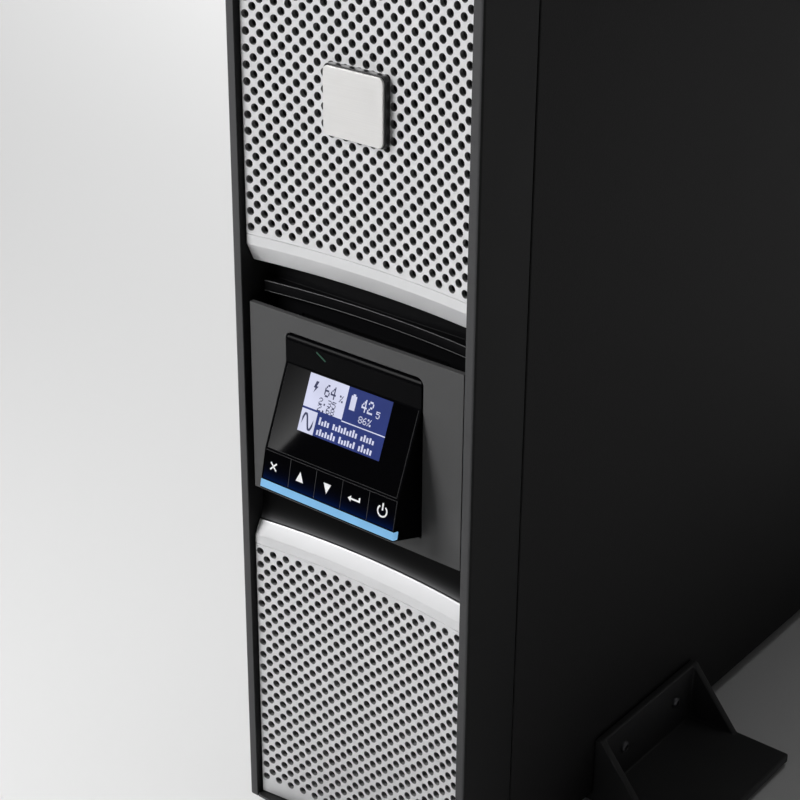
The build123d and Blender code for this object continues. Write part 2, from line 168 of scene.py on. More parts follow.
# Eight wide lights hang in a ring over the far floor and light nothing but the floor.
FAR_COUNT = 8
FAR_REACH = 4.0
FAR_HEIGHT = 2.6
FAR_SIDE = 3.0
FAR_WATTS = 24
FAR_SPREAD = math.radians(80)
for index in range(FAR_COUNT):
    angle = 2 * math.pi * (index + 0.5) / FAR_COUNT
    place = Vector((FAR_REACH * math.cos(angle), FAR_REACH * math.sin(angle), FAR_HEIGHT))
    below = place - Vector((0, 0, 1))
    softbox(f"floor_light_{index}", place, below, FAR_SIDE, FAR_SIDE, FAR_WATTS).data.spread = FAR_SPREAD

# A graded strip softbox stands low on the left. It lights nearly nothing, but the polished lens mirrors
# its sharp edge as a diagonal across the screen, with a glow that fades away from it.
EDGE_TOP = controls + Vector((-0.855, -1.194, 0.297))
EDGE_LOW = controls + Vector((-0.923, -1.205, 0.159))
STRIP_LENGTH = 0.5
STRIP_WIDTH = 0.09
STRIP_WATTS = 0.58
STRIP_FADE = 3.0


def add_node(tree, kind, settings=None, **values):
    """A node with its properties and its inputs set."""
    node = tree.nodes.new(kind)
    for key, value in (settings or {}).items():
        setattr(node, key, value)
    set_inputs(tree, node, **values)
    return node


def worked(tree, operation, *values):
    """A maths node's result, from numbers or other nodes' outputs."""
    node = add_node(tree, "ShaderNodeMath", {"operation": operation})
    for socket, value in zip(node.inputs, values):
        set_input(tree, socket, value)
    return node.outputs[0]


along = (EDGE_TOP - EDGE_LOW).normalized()
facing = controls - (EDGE_TOP + EDGE_LOW) / 2
facing = (facing - facing.dot(along) * along).normalized()
aside = along.cross(facing)
place = (EDGE_TOP + EDGE_LOW) / 2 + STRIP_WIDTH / 2 * aside
strip = softbox("graded_strip", place, place + facing, STRIP_WIDTH, STRIP_LENGTH, STRIP_WATTS)
strip.rotation_quaternion = Matrix((-aside, along, -facing)).transposed().to_quaternion()
strip.data.use_nodes = True
tree = strip.data.node_tree
geometry = add_node(tree, "ShaderNodeNewGeometry")
across = add_node(tree, "ShaderNodeSeparateXYZ", Vector=geometry.outputs["Parametric"]).outputs["X"]
fading = worked(tree, "MULTIPLY", worked(tree, "SUBTRACT", across, 1.0), STRIP_FADE)
set_inputs(tree, tree.nodes["Emission"], Strength=worked(tree, "EXPONENT", fading))

# The bezel's dark mouldings: two solid side rails and two thin caps that close the front into a frame.
# They are near-black plastic with a fine spark-eroded grain, greyer on the front; their sides are darker,
# partly the moulding's own black and partly painted shade. The mould rounds every edge a little,
# which is what catches the light.
MERGE = 1e-6
FLAT_JOIN = math.radians(0.6)
SHARP_EDGE = math.radians(25)
SMOOTH_BELOW = math.radians(32)
FACING_FRONT = -0.8
BEZEL_ROUND = 0.0006


def effect_group(name, inputs, outputs):
    """An empty shader node group with named sockets, and its two end nodes."""
    group = bpy.data.node_groups.new(name, "ShaderNodeTree")
    for way, sockets in (("INPUT", inputs), ("OUTPUT", outputs)):
        for label, kind in sockets.items():
            group.interface.new_socket(label, in_out=way, socket_type="NodeSocket" + kind)
    return group, group.nodes.new("NodeGroupInput"), group.nodes.new("NodeGroupOutput")


def tinted(tree, color, share):
    """A colour made lighter or darker by a share; either may be a socket or a constant."""
    node = add_node(tree, "ShaderNodeVectorMath", {"operation": "SCALE"}, Scale=share)
    set_input(tree, node.inputs[0], color)
    return node.outputs["Vector"]


def make_surface_grain():
    """Grain, cloudy mottle and handling marks of anything moulded or coated, in metres."""
    group, given, out = effect_group(
        "surface_grain",
        {"Color": "Color", "Grain size": "Float", "Mottle": "Float", "Roughness": "Float",
         "Handling": "Float"},
        {"Color": "Color", "Roughness": "Float", "Height": "Float"},
    )
    place = add_node(group, "ShaderNodeTexCoord").outputs["Object"]
    scale = worked(group, "DIVIDE", 1.0, given.outputs["Grain size"])
    fine = add_node(group, "ShaderNodeTexNoise", Vector=place, Scale=scale, Detail=3.0, Roughness=0.6)
    wide = add_node(group, "ShaderNodeTexNoise", Vector=place, Scale=28.0, Detail=4.0, Roughness=0.55)
    speck = worked(group, "SUBTRACT", fine.outputs["Fac"], 0.5)
    cloud = worked(group, "SUBTRACT", wide.outputs["Fac"], 0.5)
    both = worked(group, "ADD", speck, cloud)
    gain = worked(group, "ADD", worked(group, "MULTIPLY", both, given.outputs["Mottle"]), 1.0)
    worn = worked(group, "MULTIPLY", cloud, given.outputs["Handling"])
    set_inputs(group, out, Color=tinted(group, given.outputs["Color"], gain), Height=fine.outputs["Fac"],
               Roughness=worked(group, "ADD", given.outputs["Roughness"], worn))
    return group


SURFACE_GRAIN = make_surface_grain()


def grained(name, color, grain, mottle, roughness, handling, bump, specular=0.5, metallic=0.0):
    """A material of one colour with a surface grain; grain and bump are in metres."""
    material, tree, shader = new_material(name)
    effect = add_node(tree, "ShaderNodeGroup", {"node_tree": SURFACE_GRAIN}, Color=(*color, 1),
                      Grain_size=grain, Mottle=mottle, Roughness=roughness, Handling=handling)
    relief = add_node(tree, "ShaderNodeBump", Strength=1.0, Distance=bump, Height=effect.outputs["Height"])
    set_inputs(tree, shader, Base_Color=effect.outputs["Color"], Roughness=effect.outputs["Roughness"],
               Normal=relief.outputs["Normal"], Specular_IOR_Level=specular, Metallic=metallic)
    return material


def finished(name, shape, material, slot, *nodes, body="root", others=()):
    """Turns a bmesh of closed solids into a piece that rides on a body and stands for the nodes named."""
    bmesh.ops.recalc_face_normals(shape, faces=shape.faces)
    mesh = bpy.data.meshes.new(name)
    shape.to_mesh(mesh)
    shape.free()
    mesh.shade_smooth()
    mesh.set_sharp_from_angle(angle=SMOOTH_BELOW)
    for finish in (material, *others):
        mesh.materials.append(finish)
    piece = placed(name, mesh)
    piece.modifiers.new("even_shading", "WEIGHTED_NORMAL").keep_sharp = True
    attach(piece, body)
    if nodes:
        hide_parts(*nodes)
    return piece


def node_shape(node):
    """A node's own shape as a bmesh, its flat faces joined up."""
    shape = bmesh.new()
    shape.from_mesh(frame["nodes"][node].data)
    bmesh.ops.remove_doubles(shape, verts=shape.verts, dist=MERGE)
    bmesh.ops.dissolve_limit(shape, angle_limit=FLAT_JOIN, verts=shape.verts, edges=shape.edges)
    return shape


def rounded(node, radius, material, slot, body="root", segments=2, chosen=None):
    """A node's own shape with its sharp edges rounded, or those chosen, standing for that node."""
    shape = node_shape(node)
    edges = [edge for edge in shape.edges if edge.is_manifold and edge.calc_face_angle(0) > SHARP_EDGE]
    if chosen:
        edges = [edge for edge in edges if chosen(edge)]
    bmesh.ops.bevel(shape, geom=edges, offset=radius, segments=segments, profile=0.5, affect="EDGES",
                    clamp_overlap=True)
    return finished(node + "_finish", shape, material, slot, node, body=body)


bezel_front = grained("bezel_front", (0.063, 0.063, 0.065), 0.0005, 0.2, 0.5, 0.1, 0.00003, specular=0.2)
bezel_side_black_and_shade = grained("bezel_side_black_and_shade", (0.0165, 0.0165, 0.017), 0.0006, 0.2, 0.5, 0.1, 0.00004, specular=0.12)
for node in ("bezel_left_rail", "bezel_right_rail", "bezel_top_cap", "bezel_bottom_cap"):
    piece = rounded(node, BEZEL_ROUND, bezel_side_black_and_shade, "bezel_plastic", segments=3)
    # Faces that look forward take the greyer front; the rest keep the darker side copy, partly painted shade.
    piece.data.materials.append(bezel_front)
    for polygon in piece.data.polygons:
        if polygon.normal.y < FACING_FRONT:
            polygon.material_index = 1

# The two silver grilles: 2 mm mouldings painted satin silver, hollowed across the front on one long
# arc. Round holes, which the paint only dusts inside, pierce each up to a grooved margin and a bevel
# that runs back into the dark bay. Skirts hold it between the rails.
GRILLE_WALL = 0.002
GRILLE_EDGE_BACK = 0.0029
GRILLE_SAGITTA = 0.0044
BEVEL_START = 0.0720
BEVEL_END = 0.0633
LOWER_BEVEL_END = 0.0651
BEVEL_BACK = 0.0042
END_ROUND = 0.0004
GROOVE_AT = 0.0765
GROOVE_HALF = 0.00022
GROOVE_DEEP = 0.0004
SIDE_FLAT = 0.0005
HOLE_RADIUS = 0.00174
HOLE_CHAMFER = 0.00012
HOLE_SIDES = 16
HOLE_SLACK = 0.985
HOLE_PITCH = 0.00355
HOLE_COLUMNS = 16
FIRST_ROW = 0.0801
LAST_MARGIN = 0.008
MARGIN_STEPS = 34
NEAR_COUNT = 7
ROUND_STEPS = 48
PAINTED, BARE, OVERSPRAY = 0, 1, 2

grille_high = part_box("upper_grille")[1]
grille_half = grille_high.x
grille_top = grille_high.z - bezel_middle
arc_half = rail_low.x
arc_radius = (arc_half**2 + GRILLE_SAGITTA**2) / (2 * GRILLE_SAGITTA)


def arc_y(x):
    """How far back the hollow front stands at x."""
    return front_y + GRILLE_EDGE_BACK + GRILLE_SAGITTA - arc_radius + math.sqrt(arc_radius**2 - x**2)


def evenly(start, end, steps):
    """Numbers from start to end in even steps, both ends included."""
    return [start + (end - start) * index / steps for index in range(steps + 1)]


def triangles_between(points, loops, inside_hole):
    """Triangles, by point number, that fill the first loop round the others."""
    edges = [(loop[index - 1], loop[index]) for loop in loops for index in range(len(loop))]
    flat = [Vector(point) for point in points]
    places, _, faces, sources = delaunay_2d_cdt(flat, edges, [], 1, MERGE / 10)[:4]
    kept = []
    for face in faces:
        middle = sum((places[index] for index in face), Vector((0, 0))) / len(face)
        if not inside_hole(middle):
            kept.append([sources[index][0] for index in face])
    return kept


def circle_outline(radius, steps=ROUND_STEPS):
    """A circle's points, turning to the left."""
    angles = [2 * math.pi * index / steps for index in range(steps)]
    return [(radius * math.cos(angle), radius * math.sin(angle)) for angle in angles]


def shifted(outline, across, up):
    """An outline moved on its own plane."""
    return [(x + across, y + up) for x, y in outline]


lattice = []
row_count = int((grille_top - LAST_MARGIN - FIRST_ROW) / HOLE_PITCH) + 1
for column in range(-HOLE_COLUMNS, HOLE_COLUMNS + 1):
    rows = [row for row in range(row_count) if (row + column) % 2 == 0]
    lattice += [(column * HOLE_PITCH, FIRST_ROW + row * HOLE_PITCH) for row in rows]
hole_finder = KDTree(len(lattice))
for index, place in enumerate(lattice):
    hole_finder.insert((*place, 0), index)
hole_finder.balance()
hole_edge = HOLE_RADIUS + HOLE_CHAMFER


def in_hole(point):
    """Whether a triangle's middle lies in one of the lattice's holes."""
    return hole_finder.find((*point, 0))[2] < hole_edge * math.cos(math.pi / HOLE_SIDES) * HOLE_SLACK


def hole_ring(place, radius):
    """The points of one of the lattice's holes."""
    return shifted(circle_outline(radius, HOLE_SIDES), *place)


def around_grid(columns, rows):
    """The keys along the edge of a block of a grid, turning to the left."""
    edge = [(column, rows[0]) for column in columns]
    edge += [(columns[-1], row) for row in rows[1:]]
    edge += [(column, rows[-1]) for column in reversed(columns[:-1])]
    return edge + [(columns[0], row) for row in reversed(rows[1:-1])]


def add_walls(shape, *loops, skin=0):
    """Faces from each loop of vertices to the next, in one of the piece's materials."""
    for first, second in zip(loops, loops[1:]):
        for index in range(len(first)):
            wall = shape.faces.new([first[index - 1], first[index], second[index], second[index - 1]])
            wall.material_index = skin


def add_solid(shape, *loops, skin=0):
    """A closed solid through loops of vertices."""
    add_walls(shape, *loops, skin=skin)
    for loop in (loops[0], loops[-1]):
        shape.faces.new(loop).material_index = skin


bevel_slope = BEVEL_BACK / (BEVEL_START - BEVEL_END)
field_half = grille_half - SIDE_FLAT
field_low = GROOVE_AT + GROOVE_HALF
field_high = grille_top - SIDE_FLAT
x_lines = [-grille_half, -grille_half + SIDE_FLAT / 3] + evenly(-field_half, field_half, MARGIN_STEPS)
x_lines += [grille_half - SIDE_FLAT / 3, grille_half]
x_backs = [SIDE_FLAT, SIDE_FLAT / 4] + [0.0] * (MARGIN_STEPS + 1) + [SIDE_FLAT / 4, SIDE_FLAT]
field_steps = round((field_high - field_low) / HOLE_PITCH)
field_lines = [(height, 0.0) for height in evenly(field_low, field_high, field_steps)]
far_lines = [(grille_top - SIDE_FLAT / 3, SIDE_FLAT / 4), (grille_top, SIDE_FLAT)]
field_rows = range(NEAR_COUNT, NEAR_COUNT + len(field_lines))
field_columns = range(2, len(x_lines) - 2)


def build_grille(name, node, turn, end):
    """One grille, with turn 1 above the controls and -1 below them, and its bevel's end."""
    shape = bmesh.new()
    end_back = bevel_slope * (BEVEL_START - end)
    near_lines = [
        (end, end_back + END_ROUND),
        (end + END_ROUND / 4, end_back + END_ROUND / 5),
        (end + END_ROUND, end_back - bevel_slope * END_ROUND),
        (BEVEL_START - END_ROUND, bevel_slope * END_ROUND),
        (BEVEL_START + END_ROUND / 2, 0.0),
        (GROOVE_AT - GROOVE_HALF, 0.0),
        (GROOVE_AT, GROOVE_DEEP),
    ]
    z_lines = near_lines + field_lines + far_lines

    def vertex(x, height, back):
        return shape.verts.new((x, arc_y(x) + back, bezel_middle + turn * height))

    outline = around_grid(field_columns, field_rows)
    points = [(x_lines[column], z_lines[row][0]) for column, row in outline]
    loops = [list(range(len(points)))]
    for place in lattice:
        loops.append(list(range(len(points), len(points) + HOLE_SIDES)))
        points += hole_ring(place, hole_edge)
    field = triangles_between(points, loops, in_hole)

    sheets = []
    for skin, radius, hole_back in ((PAINTED, hole_edge, 0.0), (BARE, HOLE_RADIUS, GRILLE_WALL)):
        grid = {}
        for column, x in enumerate(x_lines):
            for row, (height, back) in enumerate(z_lines):
                if row in field_rows[1:-1] and column in field_columns[1:-1]:
                    continue
                if skin == BARE:
                    depth = max(0.0, bevel_slope * (BEVEL_START - height)) + GRILLE_WALL
                elif row < NEAR_COUNT - 2:
                    depth = back + x_backs[column]
                else:
                    depth = max(back, x_backs[column])
                grid[(column, row)] = vertex(x, height, depth)
        for column in range(len(x_lines) - 1):
            for row in range(len(z_lines) - 1):
                corner = [(column, row), (column + 1, row), (column + 1, row + 1), (column, row + 1)]
                if row not in field_rows[:-1] or column not in field_columns[:-1]:
                    shape.faces.new([grid[key] for key in corner]).material_index = skin
        verts = [grid[key] for key in outline]
        for place in lattice:
            verts += [vertex(x, height, hole_back) for x, height in hole_ring(place, radius)]
        for face in field:
            shape.faces.new([verts[index] for index in face]).material_index = skin
        sheets.append((grid, verts))

    (front_grid, front_verts), (back_grid, back_verts) = sheets
    rim = around_grid(range(len(x_lines)), range(len(z_lines)))
    add_walls(shape, [front_grid[key] for key in rim], [back_grid[key] for key in rim], skin=BARE)
    for loop, place in zip(loops[1:], lattice):
        throat = [vertex(x, height, HOLE_CHAMFER) for x, height in hole_ring(place, HOLE_RADIUS)]
        near, far = ([verts[index] for index in loop] for verts in (front_verts, back_verts))
        add_walls(shape, near, throat, far, skin=OVERSPRAY)
    skirt_ends = (arc_y(grille_half) + GRILLE_WALL, grille_high.y)
    for side in (-1, 1):
        outer, inner = side * grille_half, side * (grille_half - GRILLE_WALL)
        corners = [(outer, BEVEL_START), (outer, grille_top), (inner, grille_top), (inner, BEVEL_START)]
        corners = [(x, bezel_middle + turn * height) for x, height in corners]
        add_solid(shape, *([shape.verts.new((x, y, z)) for x, z in corners] for y in skirt_ends), skin=BARE)
    finished(name, shape, silver_paint, "grille_silver", node, others=(grille_bare, grille_overspray))


silver_paint = grained("silver_paint", (0.70, 0.70, 0.71), 0.0003, 0.05, 0.4, 0.06, 0.000006, metallic=0.4)
grille_bare = grained("grille_bare", (0.03, 0.03, 0.031), 0.0006, 0.2, 0.6, 0.1, 0.00001)
grille_overspray = grained("grille_overspray", (0.22, 0.22, 0.222), 0.0004, 0.2, 0.6, 0.1, 0.00001)
build_grille("upper_grille_pierced", "upper_grille", 1, BEVEL_END)
build_grille("lower_grille_pierced", "lower_grille", -1, LOWER_BEVEL_END)

# The dust filters: two sheets of open black foam that the grilles' skirts hold a little way behind the
# holes. Their cells take nearly all the light, so the holes look black.
FILTER_ROUND = 0.0005
filter_foam = grained("filter_foam", (0.030, 0.030, 0.031), 0.0012, 0.9, 0.95, 0.0, 0.0006, specular=0.1)
rounded("dust_filters", FILTER_ROUND, filter_foam, "filter_foam")

# The bay: a black tray behind the control plate. A wall closes it behind each bevel, one rib runs
# along each channel, and the well that holds the display pod hangs behind its middle.
BAY_ROUND = 0.0004
WELL_ROUND = 0.0003
bay_black = grained("bay_black", (0.0045, 0.0045, 0.005), 0.0008, 0.2, 0.4, 0.12, 0.00001, specular=0.04)
rounded("bay_back", BAY_ROUND, bay_black, "bay_plastic")
rounded("pod_well", WELL_ROUND, bay_black, "bay_plastic")

# The upper channel's rib has a paler bead along its two front edges, a painted highlight on those edges.
# The lower one is hidden by a smooth cove, clipped in behind the plate, whose colour is painted light:
# grey where it mirrors the bevel and fading to black in the shade towards the plate.
RIB_HIGHLIGHTS = ((0.0532, 0.00022), (0.0485, 0.00016))
RIB_BEHIND = 0.0071
RIB_END_GAP = 0.003
BEAD_STEPS = 40
BEAD_SIDES = 8
COVE_TOP = 0.0460
COVE_END = 0.0650
COVE_BEHIND = 0.0063
COVE_RISE = 0.0018
COVE_WALL = 0.0006
COVE_STEPS = 12
COVE_REFLECTION_FADE = 0.0016
COVE_PAINTED_REFLECTION = 0.16
COVE_PAINTED_SHADE = 0.0018


def add_tube(shape, points, radius, sides=BEAD_SIDES):
    """A round bar along a run of points, closed at both ends."""
    loops = []
    for index, point in enumerate(points):
        before, after = points[max(index - 1, 0)], points[min(index + 1, len(points) - 1)]
        turn = (Vector(after) - Vector(before)).to_track_quat("Z", "Y")
        ring = [turn @ Vector((x, y, 0)) for x, y in circle_outline(radius, sides)]
        loops.append([shape.verts.new(Vector(point) + place) for place in ring])
    add_solid(shape, *loops)


def make_edge_fade():
    """A mask that is 1 at an edge and dies away beyond it along a direction, over a reach."""
    group, given, out = effect_group(
        "edge_fade", {"Direction": "Vector", "Level": "Float", "Reach": "Float"}, {"Mask": "Float"}
    )
    along = add_node(group, "ShaderNodeVectorMath", {"operation": "DOT_PRODUCT"})
    group.links.new(add_node(group, "ShaderNodeTexCoord").outputs["Object"], along.inputs[0])
    group.links.new(given.outputs["Direction"], along.inputs[1])
    past = worked(group, "SUBTRACT", given.outputs["Level"], along.outputs["Value"])
    share = worked(group, "DIVIDE", past, given.outputs["Reach"])
    set_inputs(group, out, Mask=worked(group, "EXPONENT", worked(group, "MINIMUM", share, 0.0)))
    return group


EDGE_FADE = make_edge_fade()


def edge_mask(tree, direction, level, reach):
    """The edge fade's mask among a material's nodes, for an edge at a level along a direction."""
    fade = add_node(tree, "ShaderNodeGroup", {"node_tree": EDGE_FADE}, Direction=direction, Level=level,
                    Reach=reach)
    return fade.outputs["Mask"]


rib_highlights = bmesh.new()
rib_half = grille_half - RIB_END_GAP
for height, radius in RIB_HIGHLIGHTS:
    level = bezel_middle + height
    route = [(x, arc_y(x) + RIB_BEHIND, level) for x in evenly(-rib_half, rib_half, BEAD_STEPS)]
    add_tube(rib_highlights, route, radius)
# Painted highlight: a paler gloss than the bay, standing in for the light the rib's edges catch.
bead_painted_highlight = grained("bead_painted_highlight", (0.07, 0.07, 0.072), 0.0008, 0.1, 0.3, 0.1, 0.000002)
finished("bay_rib_highlights", rib_highlights, bead_painted_highlight, "bay_plastic")

section = []
for share in evenly(0, 1, COVE_STEPS):
    section.append((COVE_TOP + (COVE_END - COVE_TOP) * share, COVE_BEHIND - COVE_RISE * share**3))
section += [(height, behind + COVE_WALL) for height, behind in reversed(section)]
cove = bmesh.new()
loops = []
for x in evenly(-grille_half, grille_half, BEAD_STEPS):
    ring = [(x, arc_y(x) + behind, bezel_middle - height) for height, behind in section]
    loops.append([cove.verts.new(place) for place in ring])
add_solid(cove, *loops)
# The cove's colour is painted light: a painted reflection of the bevel at its lower end, fading upwards to
# painted shade under the plate.
cove_painted_light = grained("cove_painted_light", (0.003, 0.003, 0.003), 0.0006, 0.15, 0.5, 0.1, 0.00001, specular=0.04)
tree = cove_painted_light.node_tree
mask = edge_mask(tree, (0, 0, 1), bezel_middle - COVE_END, COVE_REFLECTION_FADE)
level = worked(tree, "ADD", worked(tree, "MULTIPLY", mask, COVE_PAINTED_REFLECTION), COVE_PAINTED_SHADE)
set_inputs(tree, tree.nodes["Group"], Color=tinted(tree, (1, 1, 1.03), level))
finished("lower_cove", cove, cove_painted_light, "bay_plastic")

# The control plate: a flat charcoal moulding with a soft matte grain. It stands off the bay's floor on
# two stays and leaves a square opening with two rounded corners for the display pod.
PLATE_ROUND = 0.0004
plate_charcoal = grained("plate_charcoal", (0.078, 0.078, 0.079),
                         0.0004, 0.12, 0.52, 0.08, 0.00002, specular=0.15)
rounded("control_plate", PLATE_ROUND, plate_charcoal, "plate_plastic")

# The display pod's housing: one piano-black wedge that turns on two small trunnions at its top. It is
# polished, with the faint swirls that wiping leaves, and everything on its face is let into it.
piano_black = grained("piano_black", (0.0012, 0.0012, 0.0016),
                      0.002, 0.2, 0.22, 0.08, 0.000001, specular=0.03)
BAR_SIDE_PROUD = 0.0003
SIDE_SLACK = 0.00001
POD_ROUND = 0.0004
pod_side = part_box("light_bar")[1].x - BAR_SIDE_PROUD


def on_pod_side(edge):
    """Whether an edge runs along one of the pod's two flat sides."""
    return all(abs(abs(vertex.co.x) - pod_side) < SIDE_SLACK for vertex in edge.verts)


rounded("pod_housing", POD_ROUND, piano_black, "pod_plastic", "lcd_pod", segments=3, chosen=on_pod_side)

# The screen's lens: a sheet of black acrylic flush with the pod's leaning face, with a window for the
# display. Its side and bottom edges are coloured a little paler than its face, a painted highlight that
# shows as a fine line.
joints = {joint["child"]: joint for joint in frame["record"]["behaviour"]["joints"]}
pod_lean = math.radians(-joints["lcd_pod"]["range_deg"][0])
strip_lean = math.asin(-joints["key_up"]["axis"][2])
LENS_WALL = 0.001
LENS_EDGE = 0.0003
SCREEN_RECESS = 0.0003


def face_of(node, lean, thickness):
    """The middle of a leaning block's front face, as a matrix: X across, Y up the face, Z out of it."""
    low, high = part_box(node)
    middle = Vector((
        (low.x + high.x) / 2,
        (low.y + high.y - thickness * math.cos(lean)) / 2,
        (low.z + high.z + thickness * math.sin(lean)) / 2,
    ))
    across = Vector((1, 0, 0))
    up = Vector((0, math.sin(lean), math.cos(lean)))
    out = Vector((0, -math.cos(lean), math.sin(lean)))
    turn = Matrix((across, up, out)).transposed().to_4x4()
    return Matrix.Translation(middle) @ turn


def face_size(node, lean, thickness):
    """The width and height of a leaning block's front face."""
    low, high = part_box(node)
    return high.x - low.x, (high.z - low.z - thickness * math.sin(lean)) / math.cos(lean)


def bar_outline(x0, y0, x1, y1):
    """A rectangle's corners, turning to the left."""
    return [(x0, y0), (x1, y0), (x1, y1), (x0, y1)]


def add_loop(shape, place, outline, lift):
    """An outline's vertices, lifted off a face."""
    return [shape.verts.new(place @ Vector((x, y, lift))) for x, y in outline]


lens_place = face_of("screen_lens", pod_lean, LENS_WALL)
lens_wide, lens_tall = face_size("screen_lens", pod_lean, LENS_WALL)
screen = face_of("display_panel", pod_lean, LENS_WALL - SCREEN_RECESS)
screen_wide, screen_tall = face_size("display_panel", pod_lean, LENS_WALL - SCREEN_RECESS)
screen_up = (lens_place.inverted() @ screen.translation).y
lens_black = grained("lens_black", (0.0006, 0.0006, 0.0010), 0.003, 0.1, 0.03, 0.02, 0.0000002, specular=0.2)
lens_edge_highlight = grained("lens_edge_highlight", (0.085, 0.085, 0.09), 0.0003, 0.3, 0.45, 0.1, 0.000004)
x, y = lens_wide / 2, lens_tall / 2
outer = bar_outline(-x, -y, x, y)
face = bar_outline(-x + LENS_EDGE, -y + LENS_EDGE, x - LENS_EDGE, y)
x, y = screen_wide / 2, screen_tall / 2
window = bar_outline(-x, screen_up - y, x, screen_up + y)
lens = bmesh.new()
layers = ((window, -LENS_WALL), (outer, -LENS_WALL), (outer, -LENS_EDGE), (face, 0), (window, 0))
rings = [add_loop(lens, lens_place, outline, lift) for outline, lift in layers]
add_walls(lens, *rings[:3])
# The chamfer round the sides and bottom takes the paler colour: a painted highlight.
add_walls(lens, *rings[2:4], skin=1)
add_walls(lens, *rings[3:], rings[0])
finished("screen_lens_sheet", lens, lens_black, "lens", "screen_lens", body="lcd_pod", others=(lens_edge_highlight,))

# The display behind the lens's window: a blue graphic panel, lit from behind through its own dots. It
# shows plain figures, a battery, a bolt, a wave and rows of level bars.
LAYER = 0.00003
BIG_DOT = (0.00056, 0.00078)
SMALL_DOT = (0.00040, 0.00042)
DIGITS = {
    "2": "01110 10001 00001 00110 01000 10000 11111",
    "3": "11110 00001 00001 01110 00001 00001 11110",
    "4": "00010 00110 01010 10010 11111 00010 00010",
    "5": "11111 10000 11110 00001 00001 10001 01110",
    "6": "00110 01000 10000 11110 10001 10001 01110",
    "8": "01110 10001 10001 01110 10001 10001 01110",
    ".": "00000 00000 00000 00000 00000 01100 01100",
    "%": "11001 11010 00010 00100 01000 01011 10011",
}


def glowing(name, color, base):
    """A lit surface whose glow varies a little over it, as a light guide's does."""
    material, tree, shader = new_material(name)
    place = add_node(tree, "ShaderNodeTexCoord").outputs["Object"]
    cloud = add_node(tree, "ShaderNodeTexNoise", Vector=place, Scale=60.0, Detail=2.0)
    spread = add_node(tree, "ShaderNodeMapRange", Value=cloud.outputs["Fac"], From_Min=0.3, From_Max=0.7,
                      To_Min=0.88, To_Max=1.08)
    set_inputs(tree, shader, Base_Color=(*base, 1), Roughness=0.35, Specular_IOR_Level=0.1,
               Emission_Color=tinted(tree, color, spread.outputs["Result"]), Emission_Strength=1.0)
    return material


def add_flat(shape, place, outline, thick, lift=0.0):
    """A thin solid of an outline on a face, standing thick proud of it."""
    add_solid(shape, *(add_loop(shape, place, outline, level) for level in (lift, lift + thick)))


def on_screen(across, down):
    """A point of the screen from the share across it and the share down it."""
    return (across - 0.5) * screen_wide, (0.5 - down) * screen_tall


def add_digits(shape, text, across, down, dot, thick):
    """Figures as dots, each row's runs joined, from their top left corner on the screen."""
    left, top = on_screen(across, down)
    wide, tall = dot
    for number, sign in enumerate(text):
        for row, pattern in enumerate(DIGITS[sign].split()):
            start = None
            for column, mark in enumerate(pattern + "0"):
                if mark == "1" and start is None:
                    start = column
                if mark == "0" and start is not None:
                    x, y = left + (number * 6 + start) * wide, top - row * tall
                    add_flat(shape, screen, bar_outline(x, y - tall, x + (column - start) * wide, y), thick)
                    start = None


def add_block(shape, left, top, right, bottom, thick):
    """A filled block between two places on the screen, given as shares."""
    (x0, y1), (x1, y0) = on_screen(left, top), on_screen(right, bottom)
    add_flat(shape, screen, bar_outline(x0, y0, x1, y1), thick)


lcd_blue = glowing("lcd_blue", (0.012, 0.028, 0.165), (0.01, 0.01, 0.02))
lcd_white = glowing("lcd_white", (0.66, 0.68, 0.86), (0.02, 0.02, 0.03))
lcd_dark = glowing("lcd_dark", (0.035, 0.04, 0.09), (0.01, 0.01, 0.02))
rounded("display_panel", LAYER, lcd_blue, "display", "lcd_pod", segments=1)

BATTERY_LEFT, BATTERY_RIGHT, BATTERY_TOP, BATTERY_LOW = 0.525, 0.59, 0.13, 0.37
CAP_LEFT, CAP_RIGHT, CAP_TALL = 0.543, 0.572, 0.03
GRAPH_LEFT, GRAPH_STEP, GRAPH_BAR, GRAPH_UNIT = 0.225, 0.034, 0.021, 0.014
GRAPH_ROWS = {0.79: "95760758685796058675", 0.965: "68575960856758069576"}
lit = bmesh.new()
add_block(lit, 0.0, 0.0, 0.475, 0.575, LAYER)
add_block(lit, 0.0, 0.61, 0.19, 1.0, LAYER)
add_block(lit, 0.475, 0.585, 1.0, 0.603, LAYER)
add_block(lit, BATTERY_LEFT, BATTERY_TOP, BATTERY_RIGHT, BATTERY_LOW, LAYER)
add_block(lit, CAP_LEFT, BATTERY_TOP - CAP_TALL, CAP_RIGHT, BATTERY_TOP, LAYER)
add_digits(lit, "42", 0.66, 0.12, BIG_DOT, LAYER)
add_digits(lit, "5", 0.84, 0.24, SMALL_DOT, LAYER)
add_digits(lit, "86%", 0.66, 0.41, SMALL_DOT, LAYER)
for bottom, heights in GRAPH_ROWS.items():
    for index, height in enumerate(map(int, heights)):
        left = GRAPH_LEFT + index * GRAPH_STEP
        if height:
            add_block(lit, left, bottom - height * GRAPH_UNIT, left + GRAPH_BAR, bottom, LAYER)
finished("display_lit_dots", lit, lcd_white, "display", body="lcd_pod")

